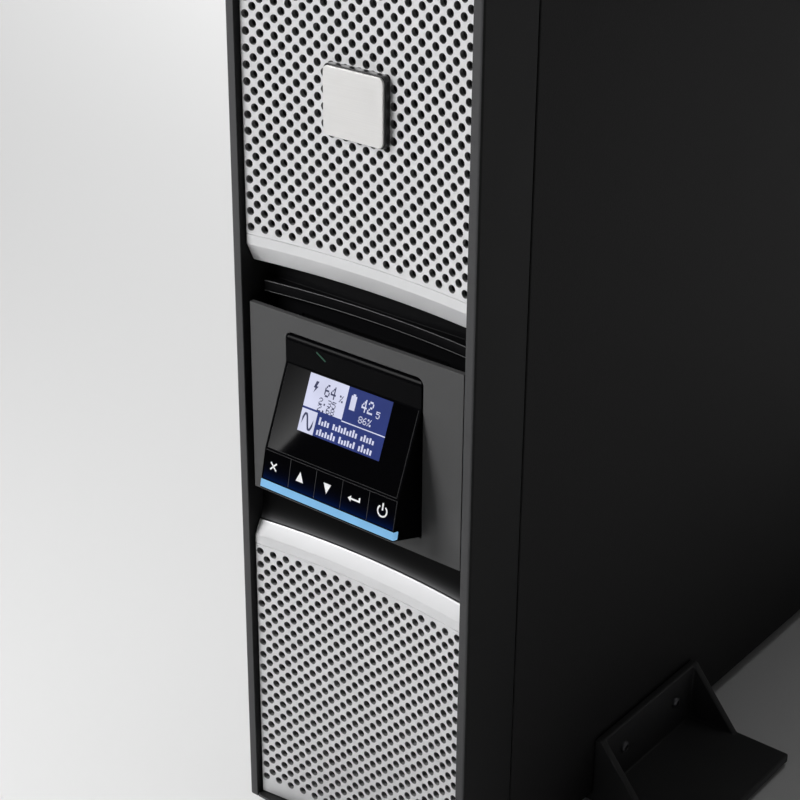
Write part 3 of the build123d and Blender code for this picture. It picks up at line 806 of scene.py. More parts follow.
BOLT_WIDE, BOLT_TALL = 0.0026, 0.0052
BOLT = [(0.40, 1.0), (0.05, 0.42), (0.42, 0.42), (0.20, 0.0), (1.0, 0.58), (0.62, 0.58), (0.95, 1.0)]
WAVE_STEPS = 24
WAVE_WIDE, WAVE_TALL, WAVE_STROKE = 0.0062, 0.0032, 0.00045
dark = bmesh.new()
add_digits(dark, "64", 0.21, 0.10, BIG_DOT, 2 * LAYER)
add_digits(dark, "%", 0.395, 0.20, SMALL_DOT, 2 * LAYER)
add_digits(dark, "2.35", 0.17, 0.345, SMALL_DOT, 2 * LAYER)
add_digits(dark, "2.68", 0.17, 0.46, SMALL_DOT, 2 * LAYER)
bolt_x, bolt_y = on_screen(0.07, 0.31)
bolt = [(bolt_x + x * BOLT_WIDE, bolt_y + y * BOLT_TALL) for x, y in BOLT]
add_flat(dark, screen, bolt, 2 * LAYER)
wave_x, wave_y = on_screen(0.095, 0.81)
for index in range(WAVE_STEPS):
    spans = []
    for step in (index, index + 1):
        share = step / WAVE_STEPS
        height = wave_y + math.sin(2 * math.pi * share) * WAVE_TALL
        spans.append((wave_x + (share - 0.5) * WAVE_WIDE, height))
    (x0, y0), (x1, y1) = spans
    reach = WAVE_STROKE * math.hypot(1, (y1 - y0) / (x1 - x0))
    stroke = [(x0, y0 - reach), (x1, y1 - reach), (x1, y1 + reach), (x0, y0 + reach)]
    add_flat(dark, screen, stroke, 2 * LAYER)
finished("display_dark_dots", dark, lcd_dark, "display", body="lcd_pod")

# The five keys on the strip below the screen: flat black caps with white symbols printed on them, each
# sliding straight in by itself. A thin pale grey web stands in every gap as a painted highlight, a line of
# light between the caps, and the light bar below spills a little blue onto the caps' feet.
KEY_WALL = 0.002
KEY_ROUND = 0.00018
PRINT = 0.00003
RING_STEPS = 28
SYMBOL = 0.0021
SYMBOL_SPREAD = 0.04
SYMBOL_DROP = 0.0001
SYMBOL_LEFT = 0.0007
WEB = 0.00014
WEB_DEEP = 0.0028
WEB_BELOW = 0.0001
HALO_REACH = 0.0018
HALO_COLOR = (0.0, 0.15, 1.0)
HALO_STRENGTH = 0.045
KEY_NAMES = ("key_escape", "key_up", "key_down", "key_enter", "key_power")
key_black = grained("key_black", (0.0006, 0.0006, 0.0010), 0.0006, 0.15, 0.3, 0.1, 0.000002, specular=0.01)
strip_up = Vector((0, math.sin(strip_lean), math.cos(strip_lean)))
cap = face_of("key_up", strip_lean, KEY_WALL)
cap_foot = strip_up.dot(cap.translation) - face_size("key_up", strip_lean, KEY_WALL)[1] / 2
tree = key_black.node_tree
halo = tinted(tree, HALO_COLOR, edge_mask(tree, strip_up, cap_foot, HALO_REACH))
set_inputs(tree, tree.nodes["Principled BSDF"], Emission_Color=halo, Emission_Strength=HALO_STRENGTH)
legend_white = grained("legend_white", (0.86, 0.86, 0.87), 0.0004, 0.05, 0.5, 0.05, 0.000003)
# The webs' pale grey is a painted highlight along the gaps between the caps.
web_painted_highlight = grained("web_painted_highlight", (0.055, 0.055, 0.06), 0.0004, 0.2, 0.4, 0.1, 0.000004)


def bar_between(start, end, width):
    """The outline of a straight stroke from one point to another."""
    start, end = Vector(start), Vector(end)
    side = (end - start).normalized().orthogonal() * width / 2
    return [tuple(start - side), tuple(end - side), tuple(end + side), tuple(start + side)]


def ring_outlines(radius, width, start, end, steps):
    """The outlines that make up an open ring, its angles in degrees."""
    inner, outer = radius - width / 2, radius + width / 2
    quads = []
    for index in range(steps):
        a, b = (math.radians(start + (end - start) * step / steps) for step in (index, index + 1))
        corners = ((inner, a), (outer, a), (outer, b), (inner, b))
        quads.append([(r * math.cos(t), r * math.sin(t)) for r, t in corners])
    return quads


def scaled(outlines, size):
    """Outlines drawn in units, made their real size."""
    return [[(x * size, y * size) for x, y in outline] for outline in outlines]


power_ring = ring_outlines(1.15, 0.36, 125, 415, RING_STEPS)
symbols = {
    "key_escape": [bar_between((-0.8, -0.8), (0.8, 0.8), 0.34), bar_between((-0.8, 0.8), (0.8, -0.8), 0.34)],
    "key_up": [[(-1.0, -1.0), (1.0, -1.0), (0, 1.2)]],
    "key_down": [[(-1.0, 1.0), (0, -1.2), (1.0, 1.0)]],
    "key_enter": [
        bar_outline(-0.9, -0.25, 1.5, 0.13),
        bar_outline(1.12, 0.13, 1.5, 0.75),
        [(-1.7, -0.06), (-0.85, -0.72), (-0.85, 0.60)],
    ],
    "key_power": power_ring + [bar_outline(-0.18, 0.15, 0.18, 1.7)],
}
for node, outlines in symbols.items():
    rounded(node, KEY_ROUND, key_black, "key_plastic", node)
    cap = face_of(node, strip_lean, KEY_WALL)
    cap = cap @ Matrix.Translation((cap.translation.x * SYMBOL_SPREAD - SYMBOL_LEFT, SYMBOL_DROP, 0))
    mark = bmesh.new()
    for outline in scaled(outlines, SYMBOL):
        add_flat(mark, cap, outline, PRINT)
    finished(node + "_symbol", mark, legend_white, "key_plastic", body=node)

first_cap, last_cap = (face_of(node, strip_lean, KEY_WALL) for node in (KEY_NAMES[0], KEY_NAMES[-1]))
key_wide, key_tall = face_size(KEY_NAMES[0], strip_lean, KEY_WALL)
key_pitch = (last_cap.translation.x - first_cap.translation.x) / (len(KEY_NAMES) - 1)
web_gap = key_pitch - key_wide
top = key_tall / 2 + web_gap / 4
web_outlines = []
for index in range(len(KEY_NAMES)):
    x = (key_wide + web_gap) / 2 + index * key_pitch
    if index == len(KEY_NAMES) - 1:
        x -= web_gap / 4
    web_outlines.append(bar_outline(x - WEB / 2, -key_tall / 2, x + WEB / 2, top))
right = key_wide / 2 + (len(KEY_NAMES) - 1) * key_pitch
web_outlines.append(bar_outline(-key_wide / 2, top - WEB / 2, right, top + WEB / 2))
highlight_webs = bmesh.new()
for outline in web_outlines:
    add_flat(highlight_webs, first_cap, outline, WEB_DEEP, -WEB_DEEP - WEB_BELOW)
finished("key_highlight_webs", highlight_webs, web_painted_highlight, "pod_plastic", body="lcd_pod")

# The light bar along the pod's lower lip: a strip of milky blue acrylic that is pressed into the
# housing and lit from end to end by lamps behind it.
BAR_ROUND = 0.0003
bar_glow = glowing("bar_glow", (0.204, 0.445, 0.705), (0.02, 0.05, 0.09))
rounded("light_bar", BAR_ROUND, bar_glow, "light_strip", "lcd_pod")

# The status mark on the pod's upper facet: the end of a short green light guide, set flush into the
# piano black and nearly off.
MARK_RIGHT = -0.0146
MARK_LEFT = -0.0196
MARK_UP = 0.0098
MARK_FALL = 0.0030
MARK_STROKE = 0.0008
POD_FACE_BACK = 0.002
bend_height = (lens_place @ Vector((0, lens_tall / 2, 0))).z
facet = Matrix.Translation((0, front_y + POD_FACE_BACK, bend_height)) @ Matrix.Rotation(math.pi / 2, 4, "X")
mark = bmesh.new()
ends = (MARK_LEFT, MARK_UP), (MARK_RIGHT, MARK_UP - MARK_FALL)
add_flat(mark, facet, bar_between(*ends, MARK_STROKE), PRINT)
status_green = glowing("status_green", (0.014, 0.05, 0.032), (0.01, 0.02, 0.015))
finished("status_mark", mark, status_green, "lens", body="lcd_pod")

# The badge: a black moulded base, clipped through the upper grille, and a bare face plate of brushed
# aluminium let into it.
BADGE_ROUND = 0.0003
BRUSHED_SCALE = (60, 1, 6000)
badge_black = grained("badge_black", (0.012, 0.012, 0.013), 0.0006, 0.2, 0.32, 0.1, 0.00001, specular=0.4)
rounded("badge_base", BADGE_ROUND, badge_black, "badge_base")
brushed, tree, shader = new_material("brushed_aluminium")
place = add_node(tree, "ShaderNodeTexCoord").outputs["Object"]
stretch = add_node(tree, "ShaderNodeMapping", Vector=place, Scale=BRUSHED_SCALE)
lines = add_node(tree, "ShaderNodeTexNoise", Vector=stretch.outputs["Vector"], Scale=1.0, Detail=3.0)
rough = add_node(tree, "ShaderNodeMapRange", Value=lines.outputs["Fac"], To_Min=0.32, To_Max=0.5)
shade = add_node(tree, "ShaderNodeMapRange", Value=lines.outputs["Fac"], To_Min=0.86, To_Max=1.0)
relief = add_node(tree, "ShaderNodeBump", Strength=1.0, Distance=0.000004, Height=lines.outputs["Fac"])
set_inputs(tree, shader, Base_Color=tinted(tree, (0.80, 0.79, 0.78), shade.outputs["Result"]),
           Roughness=rough.outputs["Result"], Normal=relief.outputs["Normal"], Metallic=0.45)
rounded("badge_plate", BADGE_ROUND, brushed, "badge_plate", segments=3)

# The case: folded sheet steel panels in black textured powder coat. The bulkhead behind the bezel has
# the same finish. What the case seals in, the battery pack and the electronics, never shows.
CASE_ROUND = 0.0005
powder_coat = grained("powder_coat", (0.0170, 0.0165, 0.0170), 0.0009, 0.45, 0.6, 0.1, 0.00010, specular=0.12)
for node in ("left_side_panel", "right_side_panel", "top_panel", "bottom_panel"):
    rounded(node, CASE_ROUND, powder_coat, "case_paint")
sealed_grey = grained("sealed_grey", (0.12, 0.12, 0.125), 0.002, 0.3, 0.5, 0.1, 0.00002)


def dressed(node, material):
    """A CAD node that keeps its own mesh and gets a finish."""
    frame["nodes"][node].data.materials.clear()
    frame["nodes"][node].data.materials.append(material)


dressed("front_bulkhead", powder_coat)
for node in ("battery_pack", "power_stack"):
    dressed(node, sealed_grey)

# The rear panel: one sheet in the case's powder coat, pierced for the two fans and for every fitting
# that is set through it, and held by pan-head screws.
MM = 0.001
SCREW_STEPS = 20
SCREW_RADIUS = 0.0029
SCREW_TALL = 0.0018
PAN_PROFILE = ((1.0, 0.0), (1.0, 0.45), (0.93, 0.72), (0.8, 0.9))
PAN_TOP = 0.6
CROSS_REACH, CROSS_HALF = 0.44, 0.09
PANEL_EDGE = 0.0003
PANEL_SCREWS = [(x, z) for z in (14, 150, 262, 351, 441) for x in (-59.6, 59.6)] + [(0, 441), (0, 92)]
DUCT_RADIUS = 0.037
OUTLET_PITCH = 0.027
OUTLET_TALL = 0.022

panel_low, panel_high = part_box("rear_panel")
rear_face = panel_high.y
frames_low, frames_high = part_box("fan_frames")
fan_half = frames_high.x
fan_centres = (frames_high.z - fan_half, frames_low.z + fan_half)


def on_rear(x, z, y=rear_face):
    """A place on the rear as a matrix: X to the right and Y up, seen from behind, and Z out of it."""
    turn = Matrix(((-1, 0, 0), (0, 0, 1), (0, 1, 0))).transposed().to_4x4()
    return Matrix.Translation((x, y, z)) @ turn


def behind(node):
    """The place of a node's middle on the rear, its outline there, and how deep and proud it is."""
    low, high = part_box(node)
    x, y = (high.x - low.x) / 2, (high.z - low.z) / 2
    place = on_rear((low.x + high.x) / 2, (low.z + high.z) / 2)
    return place, bar_outline(-x, -y, x, y), low.y - rear_face, high.y - rear_face


def round_rectangle(half_wide, half_tall, radius, steps=5):
    """The points of a rectangle with round corners, turning to the left."""
    points = []
    for turn, (side, level) in enumerate(((1, 1), (-1, 1), (-1, -1), (1, -1))):
        for step in range(steps + 1):
            angle = math.pi / 2 * (turn + step / steps)
            x = side * (half_wide - radius) + radius * math.cos(angle)
            points.append((x, level * (half_tall - radius) + radius * math.sin(angle)))
    return points


def shrunk(outline, amount):
    """An outline that lies about its own middle, drawn in by an amount all round."""
    wide, tall = (max(point[index] for point in outline) for index in (0, 1))
    return [(x * (1 - amount / wide), y * (1 - amount / tall)) for x, y in outline]


def inside_outline(point, outline):
    """Whether a point lies in an outline."""
    inside = False
    for (x0, y0), (x1, y1) in zip(outline, outline[1:] + outline[:1]):
        if (y0 > point[1]) != (y1 > point[1]):
            if point[0] < (x1 - x0) * (point[1] - y0) / (y1 - y0) + x0:
                inside = not inside
    return inside


def add_sheet(shape, place, outer, holes, lift):
    """A flat face in an outline that leaves its holes open; returns each outline's vertices."""
    loops, points = [], []
    for outline in (outer, *holes):
        loops.append(list(range(len(points), len(points) + len(outline))))
        points += outline
    verts = add_loop(shape, place, points, lift)

    def left_open(point):
        return any(inside_outline(point, hole) for hole in holes) or not inside_outline(point, outer)

    for face in triangles_between(points, loops, left_open):
        shape.faces.new([verts[index] for index in face])
    return [[verts[index] for index in loop] for loop in loops]


def add_housing(shape, place, outer, low, high, edge, pockets=(), holes=()):
    """A solid of an outline with its front edge bevelled, pockets as outline and depth, and holes."""
    cuts = [*holes, *(outline for outline, _ in pockets)]
    front = add_sheet(shape, place, shrunk(outer, edge), cuts, high)
    back = add_sheet(shape, place, outer, holes, low)
    add_walls(shape, back[0], add_loop(shape, place, outer, high - edge), front[0])
    for near, far in zip(front[1:], back[1:]):
        add_walls(shape, near, far)
    for (outline, depth), rim in zip(pockets, front[1 + len(holes):]):
        floor = add_loop(shape, place, outline, high - depth)
        add_walls(shape, rim, floor)
        shape.faces.new(floor)


def add_loft(shape, place, *layers):
    """A closed solid through outlines of equal length at their lifts."""
    add_solid(shape, *(add_loop(shape, place, outline, lift) for outline, lift in layers))


def add_screw(shape, place, radius=SCREW_RADIUS, tall=SCREW_TALL, lift=0.0):
    """A pan-head screw with a cross recess, its head from a lift above a place."""
    arm, half = CROSS_REACH * radius, CROSS_HALF * radius
    cross = [(arm, -half), (arm, half), (half, half), (half, arm), (-half, arm), (-half, half)]
    cross += [(-x, -y) for x, y in cross]
    loops = []
    for share, height in PAN_PROFILE:
        rim = circle_outline(share * radius, SCREW_STEPS)
        loops.append(add_loop(shape, place, rim, lift + height * tall))
    top = add_sheet(shape, place, circle_outline(PAN_TOP * radius, SCREW_STEPS), [cross], lift + tall)
    floor = add_loop(shape, place, cross, lift + tall / 2)
    shape.faces.new(loops[0])
    add_walls(shape, *loops, top[0])
    add_walls(shape, top[1], floor)
    shape.faces.new(floor)


def screwed(name, slot, places, **size):
    """A piece of screws, one at each place."""
    screws = bmesh.new()
    for place in places:
        add_screw(screws, place, **size)
    finished(name, screws, screw_zinc, slot)


outlets_low, outlets_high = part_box("outlets")
outlet_x = (outlets_low.x + outlets_high.x) / 2
outlet_levels = [outlets_high.z - OUTLET_TALL / 2 - index * OUTLET_PITCH for index in range(4)]
outlet_half = (outlets_high.x - outlets_low.x) / 2
outlet_outline = bar_outline(-outlet_half, -OUTLET_TALL / 2, outlet_half, OUTLET_TALL / 2)

panel_middle = (panel_low.z + panel_high.z) / 2
cuts = [shifted(circle_outline(DUCT_RADIUS), 0, z - panel_middle) for z in fan_centres]
cuts += [shifted(outlet_outline, -outlet_x, z - panel_middle) for z in outlet_levels]
for node in ("port_block", "battery_connector", "breaker"):
    place, outline = behind(node)[:2]
    cuts.append(shifted(outline, -place.translation.x, place.translation.z - panel_middle))
sheet = bmesh.new()
place, outline, depth, _ = behind("rear_panel")
add_housing(sheet, place, outline, depth, 0.0, PANEL_EDGE, holes=cuts)
finished("rear_panel_sheet", sheet, powder_coat, "case_paint", "rear_panel")
screw_zinc = grained("screw_zinc", (0.16, 0.16, 0.17), 0.0006, 0.1, 0.34, 0.1, 0.000004, metallic=0.9)
screwed("rear_panel_screws", "case_paint", [on_rear(x * MM, z * MM) for x, z in PANEL_SCREWS])

# The two fans behind the panel: a square frame with a round duct, a motor seat on four struts, and a
# hub with seven swept and twisted blades. The blades turn freely, but nothing drives them here.
SCREW_SPREAD = 0.03575
SCREW_HOLE = 0.0022
SEAT_RADIUS = 0.017
STRUT_WIDE = 0.005
STRUT_DEEP = 0.004
STRUT_REACH = 0.0385
BLADE_COUNT = 7
BLADE_SECTIONS = 8
BLADE_POINTS = 14
BLADE_ROOT = 0.0158
BLADE_TIP = 0.0355
BLADE_CHORD = (0.021, 0.026)
BLADE_PITCH = (52, 27)
BLADE_SWEEP = 16
BLADE_THICK = (0.0011, 0.0006)
BLADE_CAMBER = 0.0018
HUB_PROFILE = ((1.0, -0.0014), (0.97, -0.0006), (0.9, -0.0001), (0.76, 0.0), (0.74, -0.0005))
FRAME_CORNER = 0.004
STRUT_SUNK = 0.0002
fan_black = grained("fan_black", (0.02, 0.02, 0.021), 0.0008, 0.2, 0.45, 0.1, 0.00002)


def between(pair, share):
    """The number at a share of the way from the first of a pair to the second."""
    return pair[0] + (pair[1] - pair[0]) * share


def add_blade(shape, place, turn, middle):
    """One cambered blade from inside the hub to the tip, its middle at a lift from the frame's face."""
    loops = []
    for step in range(BLADE_SECTIONS + 1):
        share = step / BLADE_SECTIONS
        radius = between((BLADE_ROOT, BLADE_TIP), share)
        pitch = math.radians(between(BLADE_PITCH, share))
        chord, thick = between(BLADE_CHORD, share), between(BLADE_THICK, share)
        sweep = turn + math.radians(BLADE_SWEEP) * share**2
        loop = []
        for index in range(BLADE_POINTS):
            angle = 2 * math.pi * index / BLADE_POINTS
            forward = math.cos(angle) * chord / 2
            aside = math.sin(angle) * thick + math.sin(angle) ** 2 * BLADE_CAMBER
            across = forward * math.cos(pitch) - aside * math.sin(pitch)
            lift = forward * math.sin(pitch) + aside * math.cos(pitch)
            around = sweep + across / radius
            point = Vector((radius * math.cos(around), radius * math.sin(around), middle + lift))
            loop.append(shape.verts.new(place @ point))
        loops.append(loop)
    add_solid(shape, *loops)


rotors_low, rotors_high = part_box("fan_rotors")
hub_back, hub_front = (y - frames_high.y for y in (rotors_low.y, rotors_high.y))
frame_deep = frames_high.y - frames_low.y
fan_corners = [(x, y) for x in (-SCREW_SPREAD, SCREW_SPREAD) for y in (-SCREW_SPREAD, SCREW_SPREAD)]
holes = [circle_outline(DUCT_RADIUS)]
holes += [shifted(circle_outline(SCREW_HOLE, SCREW_STEPS), x, y) for x, y in fan_corners]
frames, rotors = bmesh.new(), bmesh.new()
for z in fan_centres:
    fan = on_rear(0, z, frames_high.y)
    square = round_rectangle(fan_half, fan_half, FRAME_CORNER)
    add_housing(frames, fan, square, -frame_deep, 0.0, 0.0, holes=holes)
    for angle in (45, 135, 225, 315):
        way = Vector((math.cos(math.radians(angle)), math.sin(math.radians(angle))))
        strut = bar_between(way * SEAT_RADIUS / 2, way * STRUT_REACH, STRUT_WIDE)
        add_flat(frames, fan, strut, STRUT_DEEP - STRUT_SUNK, -frame_deep)
    seat = circle_outline(SEAT_RADIUS)
    add_flat(frames, fan, seat, STRUT_DEEP, -frame_deep)
    layers = [(seat, hub_back)]
    layers += [(circle_outline(SEAT_RADIUS * share), hub_front + lift) for share, lift in HUB_PROFILE]
    add_loft(rotors, fan, *layers)
    for index in range(BLADE_COUNT):
        add_blade(rotors, fan, 2 * math.pi * index / BLADE_COUNT, (hub_back + hub_front) / 2)
finished("fan_frames_moulded", frames, fan_black, "fan_plastic", "fan_frames")
finished("fan_rotors_moulded", rotors, fan_black, "fan_plastic", "fan_rotors")

# The fan guards: five wire rings on two crossed wires, whose ends are bent into eyelets. A screw through
# each eyelet holds the guard and the fan's corner behind it.
GUARD_RINGS = (0.010, 0.018, 0.026, 0.034, 0.042)
GUARD_WIRE = 0.0009
EYELET = 0.0031
GUARD_SCREW = {"radius": 0.0038, "tall": 0.0024, "lift": 0.00072}
guard_chrome = grained("guard_chrome", (0.60, 0.60, 0.61), 0.0005, 0.06, 0.26, 0.1, 0.000002, metallic=1.0)


def add_ring(shape, place, radius, wire, steps=ROUND_STEPS):
    """A ring of round wire about a place's own Z axis."""
    around = [2 * math.pi * side / BEAD_SIDES for side in range(BEAD_SIDES)]
    section = [Vector((radius + wire * math.cos(a), 0, wire * math.sin(a))) for a in around]
    loops = []
    for index in range(steps):
        turn = place @ Matrix.Rotation(2 * math.pi * index / steps, 4, "Z")
        loops.append([shape.verts.new(turn @ point) for point in section])
    add_walls(shape, *loops, loops[0])


guards = bmesh.new()
corners = []
for z in fan_centres:
    fan = on_rear(0, z, rear_face + GUARD_WIRE)
    for radius in GUARD_RINGS:
        add_ring(guards, fan, radius, GUARD_WIRE)
    for side in (-1, 1):
        reach = SCREW_SPREAD - EYELET * math.cos(math.pi / 4)
        ends = [fan @ Vector((turn * reach, turn * side * reach, 0)) for turn in (-1, 1)]
        add_tube(guards, ends, GUARD_WIRE)
    for x, y in fan_corners:
        corners.append(fan @ Matrix.Translation((x, y, 0)))
        add_ring(guards, corners[-1], EYELET, GUARD_WIRE, SCREW_STEPS)
finished("fan_guards_wire", guards, guard_chrome, "guard_wire", "fan_guards")
screwed("guard_screws", "guard_wire", corners, **GUARD_SCREW)

# The output sockets: four blocks moulded in black and snapped into their own cut-outs. Each has a
# shrouded recess round an insert with three slots for a plug's pins.
SOCKET_EDGE = 0.0006
SHROUD = [(-12.4, -8.0), (12.4, -8.0), (12.4, 3.4), (7.8, 8.0), (-7.8, 8.0), (-12.4, 3.4)]
INSERT = [(-10.0, -5.8), (10.0, -5.8), (10.0, 2.4), (6.6, 5.8), (-6.6, 5.8), (-10.0, 2.4)]
SLOT_PLACES = ((-6.8, -1.6), (0, 1.8), (6.8, -1.6))
SLOT = bar_outline(-0.001, -0.0023, 0.001, 0.0023)
SHROUD_DEEP = 0.012
INSERT_LOW = 0.0008
socket_black = grained("socket_black", (0.022, 0.022, 0.023), 0.0006, 0.15, 0.4, 0.1, 0.00001)
shroud, insert = scaled([SHROUD, INSERT], MM)
slots = [shifted(SLOT, x * MM, y * MM) for x, y in SLOT_PLACES]
sockets = bmesh.new()
outlet_back, outlet_front = behind("outlets")[2:]
for z in outlet_levels:
    place = on_rear(outlet_x, z)
    pockets = [(shroud, SHROUD_DEEP)]
    add_housing(sockets, place, outlet_outline, outlet_back, outlet_front, SOCKET_EDGE, pockets)
    pockets = [(slot, SHROUD_DEEP / 2) for slot in slots]
    low, high = outlet_front - SHROUD_DEEP, outlet_front - INSERT_LOW
    add_housing(sockets, place, insert, low, high, SOCKET_EDGE / 2, pockets)
finished("outlets_moulded", sockets, socket_black, "socket_plastic", "outlets")

# The signal ports: one moulded block with a nine-way D-shaped socket between two threaded posts, a
# modular jack and two small lamps.
D_SHELL = [(-7.2, -3.9), (7.2, -3.9), (8.3, 3.9), (-8.3, 3.9)]
D_INSERT = [(-6.2, -2.9), (6.2, -2.9), (7.2, 2.9), (-7.2, 2.9)]
JACK = [(-3, -4.4), (3, -4.4), (3, -2.6), (5.9, -2.6), (5.9, 4.4), (-5.9, 4.4), (-5.9, -2.6), (-3, -2.6)]
D_ACROSS = -0.0084
D_DEEP = 0.004
JACK_DEEP = 0.0072
LAMP_DEEP = 0.0005
LAMP_RADIUS = 0.0008
LAMP_SPREAD = 0.003
POST_SPREAD = 0.0107
POST_RADIUS = 0.0014
POST_PROUD = 0.0012
POST_EDGE = 0.0002
POST_BORE = 0.0007
POST_BORE_DEEP = 0.0015
CONTACT = bar_outline(-0.0002, -0.0002, 0.0002, 0.0042)
CONTACT_PITCH = 0.0012
CONTACT_THICK = 0.0004
PIN_PITCH = 0.00277
PIN_RADIUS = 0.0006
JACK_ACROSS = 0.0105
LAMP_ACROSS = 0.0188
jack_metal = grained("jack_metal", (0.5, 0.49, 0.46), 0.0005, 0.1, 0.3, 0.1, 0.000003, metallic=1.0)
d_shell, d_insert, jack = scaled([D_SHELL, D_INSERT, JACK], MM)
place, outline, back, front = behind("port_block")
lamp = circle_outline(LAMP_RADIUS, SCREW_STEPS)
pockets = [(shifted(d_shell, D_ACROSS, 0), D_DEEP), (shifted(jack, JACK_ACROSS, 0), JACK_DEEP)]
pockets += [(shifted(lamp, LAMP_ACROSS, y), LAMP_DEEP) for y in (-LAMP_SPREAD, LAMP_SPREAD)]
ports, posts = bmesh.new(), bmesh.new()
add_housing(ports, place, outline, back, front, SOCKET_EDGE, pockets)
pins = [((index - 2) * PIN_PITCH, PIN_PITCH / 2) for index in range(5)]
pins += [((index - 1.5) * PIN_PITCH, -PIN_PITCH / 2) for index in range(4)]
pockets = [(shifted(circle_outline(PIN_RADIUS, 8), x, y), D_DEEP / 2) for x, y in pins]
d_place = place @ Matrix.Translation((D_ACROSS, 0, 0))
add_housing(ports, d_place, d_insert, front - D_DEEP, front - INSERT_LOW, PIN_RADIUS / 4, pockets)
for side in (-1, 1):
    post = d_place @ Matrix.Translation((side * POST_SPREAD, 0, 0))
    hexagon, bore = circle_outline(POST_RADIUS, 6), circle_outline(POST_BORE, 12)
    add_housing(posts, post, hexagon, front / 2, front + POST_PROUD, POST_EDGE, [(bore, POST_BORE_DEEP)])
for index in range(8):
    contact = shifted(CONTACT, JACK_ACROSS + (index - 3.5) * CONTACT_PITCH, 0)
    add_flat(posts, place, contact, CONTACT_THICK, front - JACK_DEEP)
finished("port_block_moulded", ports, socket_black, "socket_plastic", "port_block")
finished("port_posts", posts, jack_metal, "socket_plastic")

# The battery connector: a thick-walled block moulded in black for a cabinet's cable and fixed from
# inside, with a plated blade standing in each of its two ways.
WAY = round_rectangle(0.0065, 0.0055, 0.001)
WAY_SPREAD = 0.0079
WAY_DEEP = 0.009
BLADE = bar_outline(-0.0042, -0.0011, 0.0042, 0.0011)
BLADE_LOW = 0.0025
BLADE_EDGE = 0.0003
connector, blades = bmesh.new(), bmesh.new()
place, outline, back, front = behind("battery_connector")
ways = [(shifted(WAY, side * WAY_SPREAD, 0), WAY_DEEP) for side in (-1, 1)]
add_housing(connector, place, outline, back, front, SOCKET_EDGE * 2, ways)
for side in (-1, 1):
    way = place @ Matrix.Translation((side * WAY_SPREAD, 0, 0))
    add_housing(blades, way, BLADE, front - WAY_DEEP, front - BLADE_LOW, BLADE_EDGE)
finished("battery_connector_moulded", connector, socket_black, "socket_plastic", "battery_connector")
finished("battery_blades", blades, jack_metal, "socket_plastic")

# The input breaker: a moulded block, snapped into the panel, with a shallow well round its lever. The
# lever is set to on, and two plain marks are printed above and below it.
WELL = round_rectangle(0.0095, 0.0110, 0.0015)
WELL_DEEP = 0.001
LEVER_ROUND = 0.0012
LEVER_SHARES = (0, 0.15, 0.5, 0.85, 0.96, 1)
LEVER_NARROWS = (0, 0, 0.18, 0.42, 0.5, 0.62)
LEVER_RISES = (0, 0, 0.06, 0.3, 0.38, 0.38)
MARK_SPREAD = 0.0138
ON_MARK = bar_outline(-0.0003, -0.0016, 0.0003, 0.0016)
OFF_MARK = ring_outlines(0.0014, 0.0006, 0, 360, RING_STEPS)
breaker_block, lever, marks = bmesh.new(), bmesh.new(), bmesh.new()
place, outline, back, front = behind("breaker")
add_housing(breaker_block, place, outline, back, front, SOCKET_EDGE * 2, [(WELL, WELL_DEEP)])
finished("breaker_moulded", breaker_block, socket_black, "socket_plastic", "breaker")
lever_place, outline, low, high = behind("breaker_toggle")
half_wide, half_tall = outline[2]
layers = []
for share, narrow, rise in zip(LEVER_SHARES, LEVER_NARROWS, LEVER_RISES):
    section = round_rectangle(half_wide * (1 - narrow / 4), half_tall * (1 - narrow), LEVER_ROUND)
    layers.append((shifted(section, 0, rise * half_tall), between((low - WELL_DEEP, high), share)))
add_loft(lever, lever_place, *layers)
finished("breaker_lever", lever, socket_black, "socket_plastic", "breaker_toggle")
add_flat(marks, place, shifted(ON_MARK, 0, MARK_SPREAD), PRINT, front)
for outline in OFF_MARK:
    add_flat(marks, place, shifted(outline, 0, -MARK_SPREAD), PRINT, front)
finished("breaker_marks", marks, legend_white, "socket_plastic")

# The card slot's cover: a sheet steel blank with a pressed field, coated black as the case is and held
# by two knurled thumb screws.
THUMB_RADIUS = 0.0042
THUMB_TALL = 0.0052
THUMB_UP = 0.048
THUMB_TEETH = 26
TOOTH_DEEP = 0.06
THUMB_EDGE = 0.0005
COLLAR_TALL = 0.0014
COLLAR_SHARE = 0.6
DRIVER_SLOT = bar_outline(-0.0024, -0.0004, 0.0024, 0.0004)
DRIVER_DEEP = 0.0012
COVER_ROUND = 0.002
COVER_EDGE = 0.0004
FIELD_SIDE = 0.006
FIELD_END = 0.016
FIELD_ROUND = 0.003
cover_coat = grained("cover_coat", (0.018, 0.018, 0.0185), 0.0008, 0.4, 0.55, 0.1, 0.00006, specular=0.2)
cover, fixings = bmesh.new(), bmesh.new()
place, outline, back, front = behind("card_slot_cover")
half_wide, half_tall = outline[2]
pressed = [(round_rectangle(half_wide - FIELD_SIDE, half_tall - FIELD_END, FIELD_ROUND), front / 3)]
blank = round_rectangle(half_wide, half_tall, COVER_ROUND)
add_housing(cover, place, blank, back, front, COVER_EDGE, pressed)
finished("card_slot_cover_sheet", cover, cover_coat, "cover_paint", "card_slot_cover")
knurl = []
for index in range(2 * THUMB_TEETH):
    radius = THUMB_RADIUS * (1 - TOOTH_DEEP * (index % 2))
    angle = math.pi * index / THUMB_TEETH
    knurl.append((radius * math.cos(angle), radius * math.sin(angle)))
for side in (-1, 1):
    thumb = place @ Matrix.Translation((0, side * THUMB_UP, front))
    add_flat(fixings, thumb, circle_outline(THUMB_RADIUS * COLLAR_SHARE, SCREW_STEPS), COLLAR_TALL)
    driver = [(DRIVER_SLOT, DRIVER_DEEP)]
    add_housing(fixings, thumb, knurl, COLLAR_TALL, THUMB_TALL, THUMB_EDGE, driver)
finished("thumb_screws", fixings, screw_zinc, "cover_paint")

